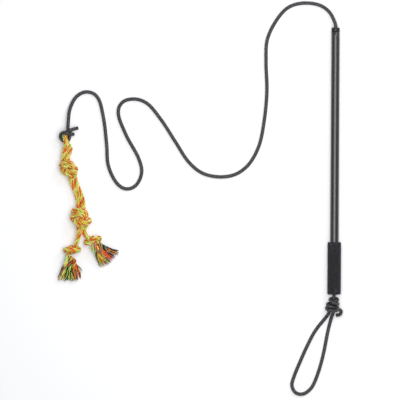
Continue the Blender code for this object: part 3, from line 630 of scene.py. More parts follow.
chewRope = {
    "radius": 0.0056,
    "gap": 0.0003,
    "routeStep": 0.0050,        # of its line, before it is smoothed
    "fullness": 1.06,           # how much the cotton swells to fill its own gaps
    "plies": 3,
    "plyShare": 0.464,          # a ply's radius, of the rope's
    "lay": 0.0245,              # rope for one turn of a ply
    "yarns": 5,                 # round each ply
    "ringShare": 0.62,          # the ring that they lie on, of the ply's radius
    "yarnShare": 0.40,
    "yarnStart": 0.13,          # turns from one ply's yarns to the next one's
    "yarnLay": 0.0200,          # ply for one turn of a yarn, the other way
    "step": 0.0013,
    "sides": 6, "coreSides": 5,
    "foldTurn": 0.0075,         # yarn for one turn of its two folds, and of its fibres
    "fibreTurn": 0.0038,
    "colours": [                # the yarns of each ply
        ["flame", "orange", "flame", "yellow", "orange"],
        ["yellow", "straw", "lime", "yellow", "straw"],
        ["lime", "orange", "yellow", "flame", "straw"],
    ],
    "eye": (-0.6151, 0.2877), "eyeTurn": 12.0, "eyeRoom": 0.0007, "bightTurn": 0.0190,
    "crest": 0.0040, "lead": 0.0080,        # straight runs at the fold and into a knot
    "crownPoints": 11, "foldStep": 0.6,     # round the fold, and the step there, of the route's
    "overLift": 0.4, "underLift": 0.2,      # of the bend, where the halves turn side by side
    "squeezeRuns": 12,                      # rounds that ease a knot's squeeze into the rope
    "neckEase": 0.35, "neckPress": 0.95,    # how soon the two halves close up, and how far
    "upperKnot": ((-0.6085, 0.2223), -76.0, 0.86),      # middle, way through, squeeze
    "lowerKnot": ((-0.5796, 0.1091), -97.0, 0.97),
    "leftKnot": ((-0.5998, 0.0387), -118.0, 0.92),
    "rightKnot": ((-0.5525, 0.0605), -42.0, 0.92),
}
ropeStep = chewRope["routeStep"]

# An overhand knot of one strand or two, for a gap of 1 between strands
overhands = {
    1: {"size": 0.62, "tail": 3.2, "pull": 2.3, "rounds": 500, "reach": 1.6},
    2: {"size": 0.86, "tail": 4.6, "pull": 4.2, "rounds": 700, "reach": 2.2},
}
looseKnot = {
    "cut": 0.25,                # radians of the closed curve that its ends leave out
    "points": 160, "step": 0.125, "smoothings": 30,
    "turn": 0.7, "below": 0.6,  # where its ends turn outwards, for each strand
    "apart": 0.55,              # from the middle to each of two strands
    "drawStep": 0.4,
}


def looseOverhand(count):
    # Its ends run out along X
    setup, cut = overhands[count], looseKnot["cut"]
    t = np.linspace(math.pi + cut, 3 * math.pi - cut, looseKnot["points"])
    line = setup["size"] * np.stack([
        np.sin(t) + 2 * np.sin(2 * t), np.cos(t) - 2 * np.cos(2 * t), -np.sin(3 * t),
    ], 1)
    tail, turn = setup["tail"], looseKnot["turn"] * count
    low = line[:, 1].min() - looseKnot["below"] * count
    pull = low + setup["pull"]
    line = evenSteps(np.vstack([
        [[tail, pull, 0], [turn, low, 0]], line, [[-turn, low, 0], [-tail, pull, 0]],
    ]), looseKnot["step"])
    for _ in range(looseKnot["smoothings"]):
        line[1:-1] = (line[:-2] + 2 * line[1:-1] + line[2:]) / 4
    offset = looseKnot["apart"] * carried(line)
    return [line] if count == 1 else [line + offset, line - offset]


def tightOverhand(count):
    # The knot drawn tight, and cut where its ends leave it
    setup = overhands[count]
    strands = drawTight(
        looseOverhand(count), [0.5] * count, looseKnot["drawStep"], setup["rounds"]
    )
    knot = []
    for strand in strands:
        inside = np.nonzero(np.abs(strand[:, 0]) < setup["reach"])[0]
        knot.append(strand[inside[0]:inside[-1] + 1])
    return knot


def fromLeft(strands, end):
    return sorted(strands, key=lambda strand: strand[end][0])


def layKnot(knot, place, hand=1):
    # The knot at its size on the floor, its strands from left to right where they come in.
    # hand is -1 for the mirror image.
    middle, turn, squeeze = place
    back = -compass(turn)
    axes = np.stack([back, up, np.cross(back, up)])
    gap = 2 * (chewRope["radius"] + chewRope["gap"]) * squeeze
    strands = [gap * strand * (1, 1, hand) @ axes for strand in knot]
    every = np.concatenate(strands)
    centre = (every.max(0) + every.min(0)) / 2
    lowest = chewRope["radius"] * squeeze
    shift = np.array([middle[0] - centre[0], middle[1] - centre[1], lowest - every[:, 2].min()])
    return fromLeft([strand + shift for strand in strands], 0)


bend = bungee["radius"] + chewRope["eyeRoom"] + chewRope["radius"]
eye = np.array([*chewRope["eye"], bend + chewRope["radius"]])
eyeWay = compass(chewRope["eyeTurn"])
lowestRope = chewRope["radius"] + chewRope["gap"]


def foldOver(left, right):
    # Round the cord's eye the fold stands upright, then its halves turn to lie side by side
    down = compass(chewRope["eyeTurn"] - 90)
    beside = eyeWay * lowestRope
    angles = np.radians(np.linspace(90, -90, chewRope["crownPoints"]))
    crown = [eye - down * bend * math.cos(a) + up * bend * math.sin(a) for a in angles]
    high = eye + up * bend + down * chewRope["crest"]
    low = eye - up * bend + down * chewRope["crest"]
    over = eye + down * chewRope["bightTurn"] - beside + up * chewRope["overLift"] * bend
    under = eye + down * chewRope["bightTurn"] + beside - up * chewRope["underLift"] * bend
    toLeft, toRight = [end[0] - chewRope["lead"] * wayAt(end, 0) for end in (left, right)]
    rising = smoothThrough([left[0], toLeft, over, high, crown[0]], ropeStep)
    falling = smoothThrough([crown[-1], low, under, toRight, right[0]], ropeStep)
    line = np.vstack([rising, crown[1:-1], falling])
    line = evenSteps(line, chewRope["foldStep"] * ropeStep)
    return keptUp(line, lowestRope)


def ropeBetween(above, below):
    line = bridged(above[-1], wayAt(above, -1), below[0], wayAt(below, 0), ropeStep)
    keptUp(line[1:-1], lowestRope)
    return line


def sideBySide(lines):
    # Two lines drawn together until they touch in the middle of their length
    count = min(len(line) for line in lines)
    first, second = [respaced(line, count) for line in lines]
    middle, half = (first + second) / 2, (second - first) / 2
    apart = np.linalg.norm(half, axis=1)[:, None]
    share = np.sin(np.linspace(0, math.pi, count))[:, None] ** chewRope["neckEase"]
    half *= (1 - share) + share * chewRope["neckPress"] * chewRope["radius"] / apart
    return [middle - half, middle + half]


# How a double knot is pulled in, in gaps: from where at its sides, and at the ends that leave it
drawn = {
    "upperShare": 0.5, "lowerShare": 0.25,
    "sides": 1.2, "endsFrom": 1.0, "endsOver": 1.2, "endsShare": 0.45, "endsTo": 0.5,
}


def drawnIn(strands, share):
    # The turns that stand out at a knot's sides pulled in, and its two ends side by side
    pulled = []
    for along, height, side in [strand.T for strand in strands]:
        out = np.sign(side) * np.maximum(np.abs(side) - drawn["sides"], 0)
        side = side - share * out
        gone = np.clip((-along - drawn["endsFrom"]) / drawn["endsOver"], 0, 1)
        side = side - drawn["endsShare"] * gone * (side - drawn["endsTo"])
        pulled.append(np.stack([along, height, side], 1))
    return pulled


double = tightOverhand(2)
single = [strand * (1, -1, 1) for strand in tightOverhand(1)]   # its three bands face up
upper = layKnot(drawnIn(double, drawn["upperShare"]), chewRope["upperKnot"])
lower = layKnot(drawnIn(double, drawn["lowerShare"]), chewRope["lowerKnot"])
endKnots = [
    layKnot(single, chewRope["leftKnot"], hand=-1)[0], layKnot(single, chewRope["rightKnot"])[0],
]
bight = foldOver(*upper)
leaving = fromLeft(upper, -1)
necks = sideBySide([ropeBetween(*pair) for pair in zip(leaving, lower)])
legsFrom = fromLeft(lower, -1)
legs = [ropeBetween(*pair) for pair in zip(legsFrom, endKnots)]


def placeOf(strand, strands):
    return next(index for index, other in enumerate(strands) if other is strand)


# Each half of the rope from the fold down, as stretches with the solid that each stands for
hands = ("left", "right")
halves = []
for start in (0, 1):
    neck = placeOf(upper[start], leaving)
    leg = placeOf(lower[neck], legsFrom)
    halves.append([
        ("upper_knot_" + hands[start], upper[start], chewRope["upperKnot"][2]),
        ("neck_" + hands[neck], necks[neck], 1.0),
        ("lower_knot_" + hands[neck], lower[neck], chewRope["lowerKnot"][2]),
        (hands[leg] + "_leg", legs[leg], 1.0),
        (hands[leg] + "_end_knot", endKnots[leg], chewRope["leftKnot"][2]),
    ])
stretches = [(node, line[::-1], squeeze) for node, line, squeeze in halves[0][::-1]]
points, marks = [], []
for node, line, squeeze in stretches + [("rope_bight", bight, 1.0)] + halves[1]:
    line = line if not points else line[1:]
    marks.append((node, len(points), squeeze))
    points += list(line)
ropeLine = smoothThrough(points, chewRope["step"])
ropeAlong = runOf(ropeLine)
cuts = [nearest(ropeLine, points[at]) for _, at, _ in marks]
cuts = [0] + cuts[1:] + [len(ropeLine) - 1]
thickness = np.ones(len(ropeLine))
spans = {}
for (node, _, squeeze), first, last in zip(marks, cuts[:-1], cuts[1:]):
    spans[node] = (first, last)
    thickness[first:last + 1] = squeeze
for _ in range(chewRope["squeezeRuns"]):
    thickness[1:-1] = (thickness[:-2] + thickness[1:-1] + thickness[2:]) / 3
print("rope knotted, length without tassels", round(float(ropeAlong[-1]), 3))


def screen(red, green, blue):
    # A colour picked from a screen, as a linear one
    share = np.array([red, green, blue]) / 255
    return tuple(float(c) for c in np.where(
        share <= 0.04045, share / 12.92, ((share + 0.055) / 1.055) ** 2.4
    ))


# Cotton dyes, each with its light and its deep tone. Uneven dye lies between them, and they also
# paint shade: the deep tone in the yarns' fold valleys, the light one on their crests
dyes = {
    "orange": ((255, 172, 54), (248, 114, 16)),
    "flame": ((252, 100, 32), (216, 52, 12)),
    "yellow": ((255, 244, 104), (252, 210, 44)),
    "straw": ((255, 253, 184), (254, 236, 116)),
    "lime": ((204, 252, 116), (144, 220, 66)),
    "green": ((86, 146, 62), (38, 84, 36)),
    "pink": ((246, 116, 96), (206, 62, 58)),
    "tan": ((226, 168, 108), (174, 112, 62)),
    "maroon": ((124, 46, 36), (66, 20, 20)),
    "plum": ((66, 52, 78), (34, 26, 42)),
    # soot also paints the shade inside the rope, as the colour of the ply cores
    "soot": ((40, 34, 32), (16, 13, 13)),
    "grey": ((214, 218, 224), (150, 152, 160)),
}


def cottonLook(name):
    # Two fold cotton yarn: slanting fibres, a soft fuzz, dye that took unevenly, and painted shade
    # in its folds' valleys and in its groove
    light, deep = [screen(*shade) for shade in dyes[name]]
    look, tree, shader = newLook(
        name + "Cotton", 0.92, Sheen_Weight=0.15, Sheen_Roughness=0.6, Specular_IOR_Level=0.2
    )
    u, v = weaveCoordinates(tree, "twist")
    slant = reckon(tree, "ADD", reckon(tree, "MULTIPLY", u, 2.0), v)
    fold = reckon(tree, "SINE", reckon(tree, "MULTIPLY", slant, 2 * math.pi))
    fold = reckon(tree, "MULTIPLY_ADD", fold, 0.5, 0.5)
    fibre = speckle(tree, 2600)
    uneven = speckle(tree, 160)
    # painted shade: the deep tone follows the folds' valleys and the light tone their crests,
    # mixed with uneven dye and fine fibre grain
    share = reckon(tree, "MULTIPLY_ADD", fold, 0.45, reckon(tree, "MULTIPLY", uneven, 0.35))
    share = reckon(tree, "MULTIPLY_ADD", fibre, 0.3, share)
    colour = blended(tree, between(tree, share, 0.25, 0.85), deep, light)
    # painted shade: the side that faces into the ply is darkened, as the shade of the groove it
    # lies in
    facing = reckon(tree, "COSINE", reckon(tree, "MULTIPLY", u, 2 * math.pi))
    paintedGrooveShade = tuple(part * channel for part, channel in zip((0.09, 0.06, 0.06), deep))
    height = reckon(tree, "MULTIPLY_ADD", fibre, 0.5, fold)
    dress(
        tree, shader,
        Base_Color=blended(tree, between(tree, facing, -0.12, 0.60), paintedGrooveShade, colour),
        Normal=raised(tree, height, 0.5, 0.0003),
    )
    return look


cottons = {name: cottonLook(name) for name in dyes}


def yarnGrid(line, out, radius, sides, dye, travelled=0.0, lobes=0.0, caps=False):
    # A yarn as rings of points. lobes makes it two fold, in a spiral that shows in its outline.
    way = waysAlong(line)
    side = unit(out - way * (out * way).sum(1)[:, None])
    along = travelled + runOf(line)
    reach = np.broadcast_to(radius, len(line))[:, None] * np.ones(sides)
    if lobes:
        turn = spokes(sides)
        spiral = 2 * math.pi * along[:, None] / chewRope["foldTurn"]
        reach = reach * (1 + lobes * np.cos(2 * (turn[None] - spiral)))
    return {
        "rings": ringsRound(line, side, np.cross(way, side), reach),
        "across": 1.0, "along": -along / chewRope["fibreTurn"], "slot": dye,
        "firstCap": caps, "lastCap": caps,
    }


def cottonPiece(name, grids, nodes):
    # Yarns as one piece of the toy, with a look for each dye among them
    used = [dye for dye in dyes if any(grid["slot"] == dye for grid in grids)]
    for grid in grids:
        grid["slot"] = used.index(grid["slot"])
    makePiece(name, "toy", grids, [cottons[dye] for dye in used], nodes, "twist")


# All the rope's yarns, and a core in each ply that fills it, near black as painted shade inside
# the ply
ropeSides = carried(ropeLine)
ropeRadius = chewRope["radius"] * chewRope["fullness"] * thickness
plyRadius = chewRope["plyShare"] * ropeRadius
ringRadius = chewRope["ringShare"] * plyRadius
yarnSets = []
for ply in range(chewRope["plies"]):
    plyLine, plyOut = wound(
        ropeLine, ropeSides, ropeRadius - plyRadius, 1 / chewRope["lay"],
        2 * math.pi * ply / chewRope["plies"],
    )
    # painted shade: the core takes the near-black soot dye, so that gaps between the yarns read as
    # shade
    yarnSets.append((plyLine, plyOut, ringRadius, "soot", True))
    for yarn in range(chewRope["yarns"]):
        yarnLine, yarnOut = wound(
            plyLine, plyOut, ringRadius, -1 / chewRope["yarnLay"],
            2 * math.pi * (yarn / chewRope["yarns"] + chewRope["yarnStart"] * ply),
        )
        dye = chewRope["colours"][ply][yarn]
        yarnSets.append((yarnLine, yarnOut, chewRope["yarnShare"] * plyRadius, dye, False))
for name, nodes in (
    ("ropeFold", ["rope_bight"]),
    ("upperKnot", ["upper_knot_left", "upper_knot_right"]),
    ("ropeNecks", ["neck_left", "neck_right"]),
    ("lowerKnot", ["lower_knot_left", "lower_knot_right"]),
    ("leftLeg", ["left_leg"]),
    ("rightLeg", ["right_leg"]),
    ("leftEndKnot", ["left_end_knot"]),
    ("rightEndKnot", ["right_end_knot"]),
):
    grids = []
    for first, last in [spans[node] for node in nodes]:
        part = slice(first, last + 1)
        for line, out, radius, dye, isCore in yarnSets:
            sides = chewRope["coreSides" if isCore else "sides"]
            grids.append(yarnGrid(
                line[part], out[part], radius[part], sides, dye, ropeAlong[first]
            ))
    cottonPiece(name, grids, nodes)
print("rope spun of", len(yarnSets), "yarns")

# The tassels: the rope's own yarns and the many that lay inside it, combed out
tassels = {
    "left": {
        "tip": (-0.6062, -0.0320), "fan": -93.0, "seed": 4,
        "back": 0,              # how far inside the knot its yarns begin, in steps of the rope
        "shift": 0.0100,        # of the root, towards the side that the fan's last dyes are on
        "parting": 0.24,        # of its length, over which the yarns part into plies
        "plies": [("lime", "lime", "straw", "yellow"), ("yellow", "soot", "lime", "maroon"),
                  ("orange", "flame", "yellow", "maroon")],
        "order": [              # inside the plies, across the fan from left to right
            "maroon", "tan", "maroon", "straw", "tan", "yellow", "soot", "green", "soot",
            "soot", "straw", "maroon", "yellow", "maroon", "soot", "orange", "yellow", "maroon",
            "soot", "pink", "plum", "yellow", "maroon",
        ],
    },
    "right": {
        "tip": (-0.5095, 0.0150), "fan": -46.0, "seed": 9,
        "back": 8, "shift": -0.0090, "parting": 0.17,
        "plies": [("yellow", "orange", "lime"), ("flame", "pink", "orange"),
                  ("lime", "lime", "plum", "orange")],
        "order": [
            "green", "yellow", "soot", "lime", "orange", "yellow", "soot", "flame", "pink",
            "orange", "maroon", "flame", "yellow", "flame", "soot", "grey", "plum", "soot",
            "plum", "grey", "plum", "orange", "tan", "orange", "tan",
        ],
    },
}
combed = {
    "root": 0.0112, "spread": 0.0255, "depth": 0.0078, "thick": 0.0056,
    "rootRadius": 0.0044, "rootShuffle": 0.0006,
    "yarns": 78, "radius": 0.00106, "lobes": 0.16, "rag": 0.0065, "bow": 0.0040,
    "radii": (0.82, 1.15), "endRadii": (0.95, 0.8, 0.55),   # thin to thick yarns, and their ends
    "wave": 0.0022, "riseWave": 0.0011, "beats": (0.6, 1.4),    # waves in a yarn's length
    "drift": 0.10, "step": 0.0011, "sides": 8, "starts": 0.0100,
    "plyRadius": 0.0047, "plyLay": 0.0340, "plyApart": 0.85,
    "plyLift": (-0.0008, 0.0010, -0.0008),
    "untwist": 0.20,            # of its length, before a ply opens
    # painted light: on the lit top side of a ply, the rope's bright dyes reach further in than
    # elsewhere, so that side reads lighter
    "skin": 0.95, "litSideSkin": 0.55,      # further out in a ply, a yarn has one of the rope's dyes
    "litSideTurn": 0.5, "litSideFrom": 0.5,     # which of its sides is the top
    "strayShare": 0.25,         # of yarns that aren't in the order of the colours
    "fibres": 5, "fibreLength": 0.0035, "fibreCurl": 0.0008,
    "fibreRadii": np.array([0.22, 0.22, 0.2, 0.16, 0.08]) * 0.001,
    "fibreSpread": (0.35, 0.35, 0.12), "fibreCuts": (0.4, 1.0), "fibreLift": 0.0004,
    "fibreSteps": np.linspace(-0.35, 1, 5)[:, None],    # they start inside the yarn
    "lift": 0.0003,             # off the floor
}


def frayed(line, dye, chance):
    # The loose fibres at a yarn's end
    grids = []
    steps = combed["fibreSteps"]
    for _ in range(combed["fibres"]):
        fibreWay = unit(wayAt(line, -1) + chance.normal(size=3) * combed["fibreSpread"])
        length = combed["fibreLength"] * chance.uniform(*combed["fibreCuts"])
        curl = chance.normal(size=3) * combed["fibreCurl"]
        hair = line[-1] + fibreWay * length * steps + curl * steps**2
        hair = keptUp(hair, combed["fibreLift"])
        grids.append(yarnGrid(hair, carried(hair), combed["fibreRadii"], 3, dye, caps=True))
    return grids


def combTassel(side, ends, start, way, setup):
    # ends lists where the rope's yarns leave the knot. Three plies part there, keep their twist
    # for a while and then open into the fan.
    chance = np.random.default_rng(setup["seed"])
    tip = np.array([*setup["tip"], combed["depth"]])
    middle = bridged(start, way, tip, compass(setup["fan"]), combed["step"])
    run = len(middle)
    forward = waysAlong(middle)
    across = unit(np.cross(up, forward))
    lift = np.cross(forward, across)
    share = np.linspace(0, 1, run)
    travel = share * combed["step"] * (run - 1)
    roots = [((place - start) @ across[0], (place - start) @ lift[0]) for place in ends]
    while len(roots) < combed["yarns"]:
        angle = chance.uniform(0, 2 * math.pi)
        reach = combed["rootRadius"] * math.sqrt(chance.uniform())
        roots.append((reach * math.cos(angle), reach * math.sin(angle)))
    roots.sort(key=lambda root: root[0] + chance.normal() * combed["rootShuffle"])
    grids, plies, order = [], setup["plies"], setup["order"]
    parting = 1 - (1 - np.clip(share / setup["parting"], 0, 1)) ** 2
    for index, (out, height) in enumerate(roots):
        place = 2 * (index + 0.5) / len(roots) - 1
        ply = int(len(plies) * index / len(roots))
        inPly = 2 * (len(plies) * (index + 0.5) / len(roots) - ply) - 1
        layer = float(chance.uniform(-1, 1))
        reach = min(math.hypot(layer, inPly), 1.0)
        turn = math.atan2(layer, inPly)
        # painted light: a yarn on its ply's lit top side takes one of the rope's bright dyes from
        # further in
        onTop = math.sin(turn + combed["litSideTurn"]) > combed["litSideFrom"]
        if reach > combed["skin"] or reach > combed["litSideSkin"] and onTop:
            dye = plies[ply][chance.integers(len(plies[ply]))]
        elif chance.uniform() < combed["strayShare"]:
            dye = order[chance.integers(len(order))]
        else:
            dye = order[int((place + 1) / 2 * len(order))]
        cut = combed["bow"] * place**2 + abs(chance.normal()) * combed["rag"]
        keep = max(run - int(cut / combed["step"]), run // 2)
        opened = np.clip((share * run / keep - combed["untwist"]) / (1 - combed["untwist"]), 0, 1)
        opened = opened * opened * (3 - 2 * opened)
        # where the yarn lies in its ply, and where it lies once that has opened
        turn = turn + 2 * math.pi * travel / combed["plyLay"]
        width = combed["root"] + (combed["spread"] - combed["root"]) * share * run / keep
        plyMiddle = combed["plyApart"] * (2 * (ply + 0.5) / len(plies) - 1) * width
        heldSide = plyMiddle + combed["plyRadius"] * reach * np.cos(turn)
        heldRise = combed["plyLift"][ply] + combed["plyRadius"] * reach * np.sin(turn)
        freeSide = np.clip(place + chance.normal() * combed["drift"], -1, 1) * width
        lateral = heldSide * (1 - opened) + freeSide * opened + setup["shift"] * (1 - share)
        rise = heldRise * (1 - opened) + layer * combed["thick"] * opened
        lateral = out * (1 - parting) + lateral * parting
        rise = height * (1 - parting) + rise * parting
        phase, beat = chance.uniform(0, 2 * math.pi, 2), chance.uniform(*combed["beats"], 2)
        lateral += combed["wave"] * opened * np.sin(2 * math.pi * beat[0] * share + phase[0])
        rise += combed["riseWave"] * opened * np.sin(2 * math.pi * beat[1] * share + phase[1])
        line = (middle + across * lateral[:, None] + lift * rise[:, None])[:keep]
        radius = combed["radius"] * chance.uniform(*combed["radii"]) * np.ones(keep)
        radius[-3:] *= combed["endRadii"]
        line = keptUp(line, radius + combed["lift"])
        grids.append(yarnGrid(
            line, carried(line), radius, combed["sides"], dye,
            chance.uniform(0, combed["starts"]), combed["lobes"], True,
        ))
        grids += frayed(line, dye, chance)
    cottonPiece(side + "Tassel", grids, [side + "_tassel"])


for side, end, sign in (("left", 0, -1), ("right", -1, 1)):
    setup = tassels[side]
    at = end - sign * setup["back"]
    leaving = [line[at] for line, _, _, _, isCore in yarnSets if not isCore]
    combTassel(side, leaving, ropeLine[at], sign * wayAt(ropeLine, end), setup)
print("tassels combed")

# The toy's hitch: down to the rope's fold, through it, back up round itself and into a tail
hitch = {
    "down": [(0.0052, 0.0220, 0.0125), (0.0105, 0.0150, 0.0125), (0.0155, 0.0085, 0.0140)],
    "back": [
        (-0.0160, 0.0020, 0.0165), (-0.0165, 0.0110, 0.0180), (-0.0140, 0.0200, 0.0230),
        (-0.0060, 0.0240, 0.0290), (0.0040, 0.0210, 0.0310), (0.0120, 0.0150, 0.0270),
        (0.0180, 0.0120, 0.0170), (0.0165, 0.0150, 0.0070), (0.0080, 0.0180, 0.0045),
        (0.0000, 0.0190, 0.0050), (-0.0050, 0.0205, 0.0110), (-0.0020, 0.0240, 0.0190),
        (0.0060, 0.0265, 0.0215), (0.0150, 0.0275, 0.0170), (0.0250, 0.0290, 0.0130),
    ],
    "half": 0.0120,             # of the strand that lies straight through the fold
    "pinned": 0.7,              # of that, which stays put
    "cordFrom": 0.0160, "cordTo": 0.0060,   # the cord's end that the turns stay clear of
    "lifts": (0.0, 60.0, 75.0, 90.0),   # the toy's lifts that the hitch stays clear of
}


def lifted(line, angle):
    out = line - eye
    turn = math.radians(angle)
    kept = np.outer(out @ eyeWay, eyeWay)
    return eye + kept + (out - kept) * math.cos(turn) - np.cross(eyeWay, out) * math.sin(turn)


underEye = np.array([*chewRope["eye"], 0.0])
hitchStart = hitchPivot + hitchWay * (bungee["radius"] + chewRope["gap"])
hitchRoute = smoothThrough(
    [hitchStart] + list(underEye + hitch["down"])
    + [eye + hitch["half"] * eyeWay, eye, eye - hitch["half"] * eyeWay]
    + list(underEye + hitch["back"]),
    knotStep,
)
cordEnd = evenSteps(
    [hitchStart - hitch[reach] * hitchWay for reach in ("cordFrom", "cordTo")], knotStep
)
folds = [lifted(bight, angle) for angle in hitch["lifts"]]
hitchRoute = drawTight(
    [hitchRoute, cordEnd] + folds, [wrist["room"]] * 2 + [lowestRope] * len(folds), knotStep,
    knotPull["rounds"], held=range(1, 2 + len(folds)), pin=(eye, hitch["pinned"] * hitch["half"]),
    floor=wrist["room"],
)[0]
hitchLine = smoothThrough(np.vstack([[hitchPivot], hitchRoute]), bungee["step"])
cordPiece(
    "toyHitch", "hitch", "toy_hitch", hitchLine, carried(hitchLine, bungeeSides[-1]),
    lengthOf(bungeeLine), ("round", "sealed"),
)
print("hitch tied")

# Turned pieces: profiles of radius and height along the pole, up the outside and down inside


def turnedPiece(name, profile, sides, look, node, shapeOf=None):
    # shapeOf gives new radii from the radii, heights and turns of all the rings' points
    radius, height = np.array(profile, float).T
    reach = radius[:, None] * np.ones(sides)
    if shapeOf:
        reach = shapeOf(*np.broadcast_arrays(reach, height[:, None], spokes(sides)))
    side = np.array([[1.0, 0.0, 0.0]])
    rings = ringsRound(onPole(height[:, None]), side, np.cross(poleWay, side), reach)
    travelled = np.r_[0, np.cumsum(np.hypot(np.diff(radius), np.diff(height)))]
    grid = {"rings": keptUp(rings, 0.0), "across": 1.0, "along": travelled}
    return makePiece(name, "pole", [grid], [look], [node], "turned")


def rounded(middleRadius, middleHeight, radius, start, end, count=7):
    angles = np.radians(np.linspace(start, end, count))
    return [
        (middleRadius + radius * math.cos(a), middleHeight + radius * math.sin(a)) for a in angles
    ]


def tubeLook():
    # Satin black powder coat, a little uneven, with faint rubbed lines round it
    look, tree, shader = newLook("satinBlackTube", 0.36, Specular_IOR_Level=1.0)
    grain = speckle(tree, 1500, 3.0)
    cloud = between(tree, speckle(tree, 24, 3.0), 0.3, 0.7)
    rubbed = speckle(tree, 60, 4.0, (1.0, 6.0, 1.0))
    dull = between(tree, grain, 0.3, 0.7, 0.30, 0.36)
    dress(
        tree, shader,
        Base_Color=blended(tree, cloud, (0.004, 0.004, 0.005), (0.007, 0.007, 0.008)),
        Roughness=reckon(tree, "MULTIPLY_ADD", rubbed, 0.10, dull),
        Normal=raised(tree, grain, 0.25, 0.00008),
    )
    return look


def plugLook():
    # Moulded rubbery plastic: fine spark grain and a duller face
    look, tree, shader = newLook("mouldedBlackPlug", 0.5, Specular_IOR_Level=0.45)
    cloud = speckle(tree, 90)
    dress(
        tree, shader,
        Base_Color=blended(tree, cloud, (0.009, 0.009, 0.010), (0.016, 0.016, 0.018)),
        Roughness=between(tree, cloud, 0.3, 0.7, 0.42, 0.58),
        Normal=raised(tree, speckle(tree, 2400), 0.35, 0.00012),
    )
    return look


def foamLook():
    # Charcoal foam rubber: open pores of two sizes in a matte skin, darkened inside as painted
    # shade
    look, tree, shader = newLook(
        "charcoalFoam", 0.95, Specular_IOR_Level=0.2, Sheen_Weight=0.08, Sheen_Roughness=0.5
    )
    place = tree.nodes.new("ShaderNodeTexCoord")
    depths = []
    for scale in (900.0, 420.0):        # fine and coarse pores
        cells = tree.nodes.new("ShaderNodeTexVoronoi")
        cells.feature = "SMOOTH_F1"
        cells.inputs["Scale"].default_value = scale
        cells.inputs["Smoothness"].default_value = 0.4
        joinNodes(tree, place.outputs["Object"], cells.inputs["Vector"])
        depths.append(between(tree, cells.outputs["Distance"], 0.05, 0.5))
    along = tree.nodes.new("ShaderNodeSeparateXYZ")
    joinNodes(tree, place.outputs["Object"], along.inputs[0])
    nearEnd = between(tree, reckon(tree, "ABSOLUTE", along.outputs[1]), 0.038, 0.052)
    toEnd = reckon(tree, "MULTIPLY_ADD", nearEnd, 0.27, -0.15)
    coarse = between(tree, reckon(tree, "ADD", speckle(tree, 45, 3.0), toEnd), 0.45, 0.65)
    coarse = reckon(tree, "MULTIPLY", coarse, 0.8)
    pores = reckon(tree, "MULTIPLY_ADD", depths[1], coarse, depths[0])
    patches = between(tree, speckle(tree, 190, 3.0), 0.36, 0.62, -0.5, 0.5)
    contrast = reckon(tree, "MULTIPLY_ADD", nearEnd, 0.75, 0.25)
    patches = reckon(tree, "MULTIPLY_ADD", patches, contrast, 0.5)
    skin = blended(tree, patches, (0.014, 0.014, 0.017), (0.048, 0.047, 0.055))
    # painted shade: the colour goes towards near black in the pits of the pores, where the bump
    # sinks
    deep = between(tree, pores, 0.35, 0.9, 0.0, 0.75)
    dress(
        tree, shader, Base_Color=blended(tree, deep, (0.006, 0.006, 0.007), skin),
        Normal=raised(tree, pores, 0.7, 0.0004),
    )
    return look


def tubeRadius(height):
    share = (height - tubeButt) / (tubeTip - tubeButt)
    return pole["buttRadius"] + share * (pole["tipRadius"] - pole["buttRadius"])


def poleTube():
    edge, wall = 0.0003, pole["wall"]
    low, high = tubeRadius(tubeButt), tubeRadius(tubeTip)
    outside = [(tubeRadius(h), h) for h in np.linspace(tubeButt + edge, tubeTip - edge, 60)]
    profile = [(low - edge, tubeButt)] + outside + [
        (high - edge, tubeTip), (high - wall, tubeTip), (low - wall, tubeButt),
        (low - edge, tubeButt),
    ]
    turnedPiece("poleTube", profile, 128, tubeLook(), "pole_tube")


def plugShape(face, shoulder, innerEnd, rim, headRadius, spigotRadius, seam):
    # From the face to the spigot's end, whichever way it looks. seam rounds the shoulder off.
    sign = 1 if face > innerEnd else -1
    bore, lip, edge = bungee["radius"] + pole["gap"], 0.0012, 0.001
    mouth = rounded(bore + lip, face - sign * lip, lip, 180, 180 - sign * 90, 7)
    rimLine = rounded(headRadius - rim, face - sign * rim, rim, 90 * sign, 0, 9)
    profile = mouth + rimLine + [
        (headRadius, shoulder + sign * seam), (headRadius - seam, shoulder),
        (spigotRadius, shoulder), (spigotRadius, innerEnd + sign * edge),
        (spigotRadius - edge, innerEnd), (bore, innerEnd), mouth[0],
    ]
    return profile if sign < 0 else profile[::-1]


def plugs():
    look = plugLook()
    shoulder = tipEnd - pole["tipHead"]
    spigot = pole["tipRadius"] - pole["wall"] - pole["gap"]
    turnedPiece("tipPlug", plugShape(
        tipEnd, shoulder, shoulder - pole["spigot"], pole["tipRim"], pole["tipRadius"], spigot,
        0.0004,
    ), 128, look, "tip_plug")
    shoulder = tubeButt - pole["gap"]
    innerEnd = shoulder + pole["spigot"]
    spigot = tubeRadius(innerEnd) - pole["wall"] - pole["gap"]
    turnedPiece("buttPlug", plugShape(
        shoulder - pole["buttHead"], shoulder, innerEnd, pole["buttRim"], pole["buttRadius"],
        spigot, 0.0003,
    ), 96, look, "butt_plug")


# The foam's surface: how fine each kind of unevenness is, and how much it moves the skin
skinNoise = {
    "rings": 190, "sides": 192,
    "slow": (38.0, 0.00016), "fine": (620.0, 0.00010),
    "pits": (330.0, -0.0007), "pitFrom": 0.25, "pitsAt": Vector((7.0, 3.0, 1.0)),
}


def poredFoam(reach, heights, turns):
    # Foam isn't quite round: slow waves, a fine grain and scattered pits
    out = reach.copy()
    (slow, waves), (fine, grain), (pits, depth) = [
        skinNoise[kind] for kind in ("slow", "fine", "pits")
    ]
    for ring in range(reach.shape[0]):
        if reach[ring, 0] < pole["gripRadius"] - pole["gripEdge"]:
            continue
        for spoke in range(reach.shape[1]):
            radius, height, turn = reach[ring, spoke], heights[ring, spoke], turns[ring, spoke]
            place = Vector((radius * math.cos(turn), radius * math.sin(turn), height))
            pit = noise.noise(place * pits + skinNoise["pitsAt"]) - skinNoise["pitFrom"]
            out[ring, spoke] += (
                waves * noise.noise(place * slow) + grain * noise.noise(place * fine)
                + depth * max(0.0, pit)
            )
    return out


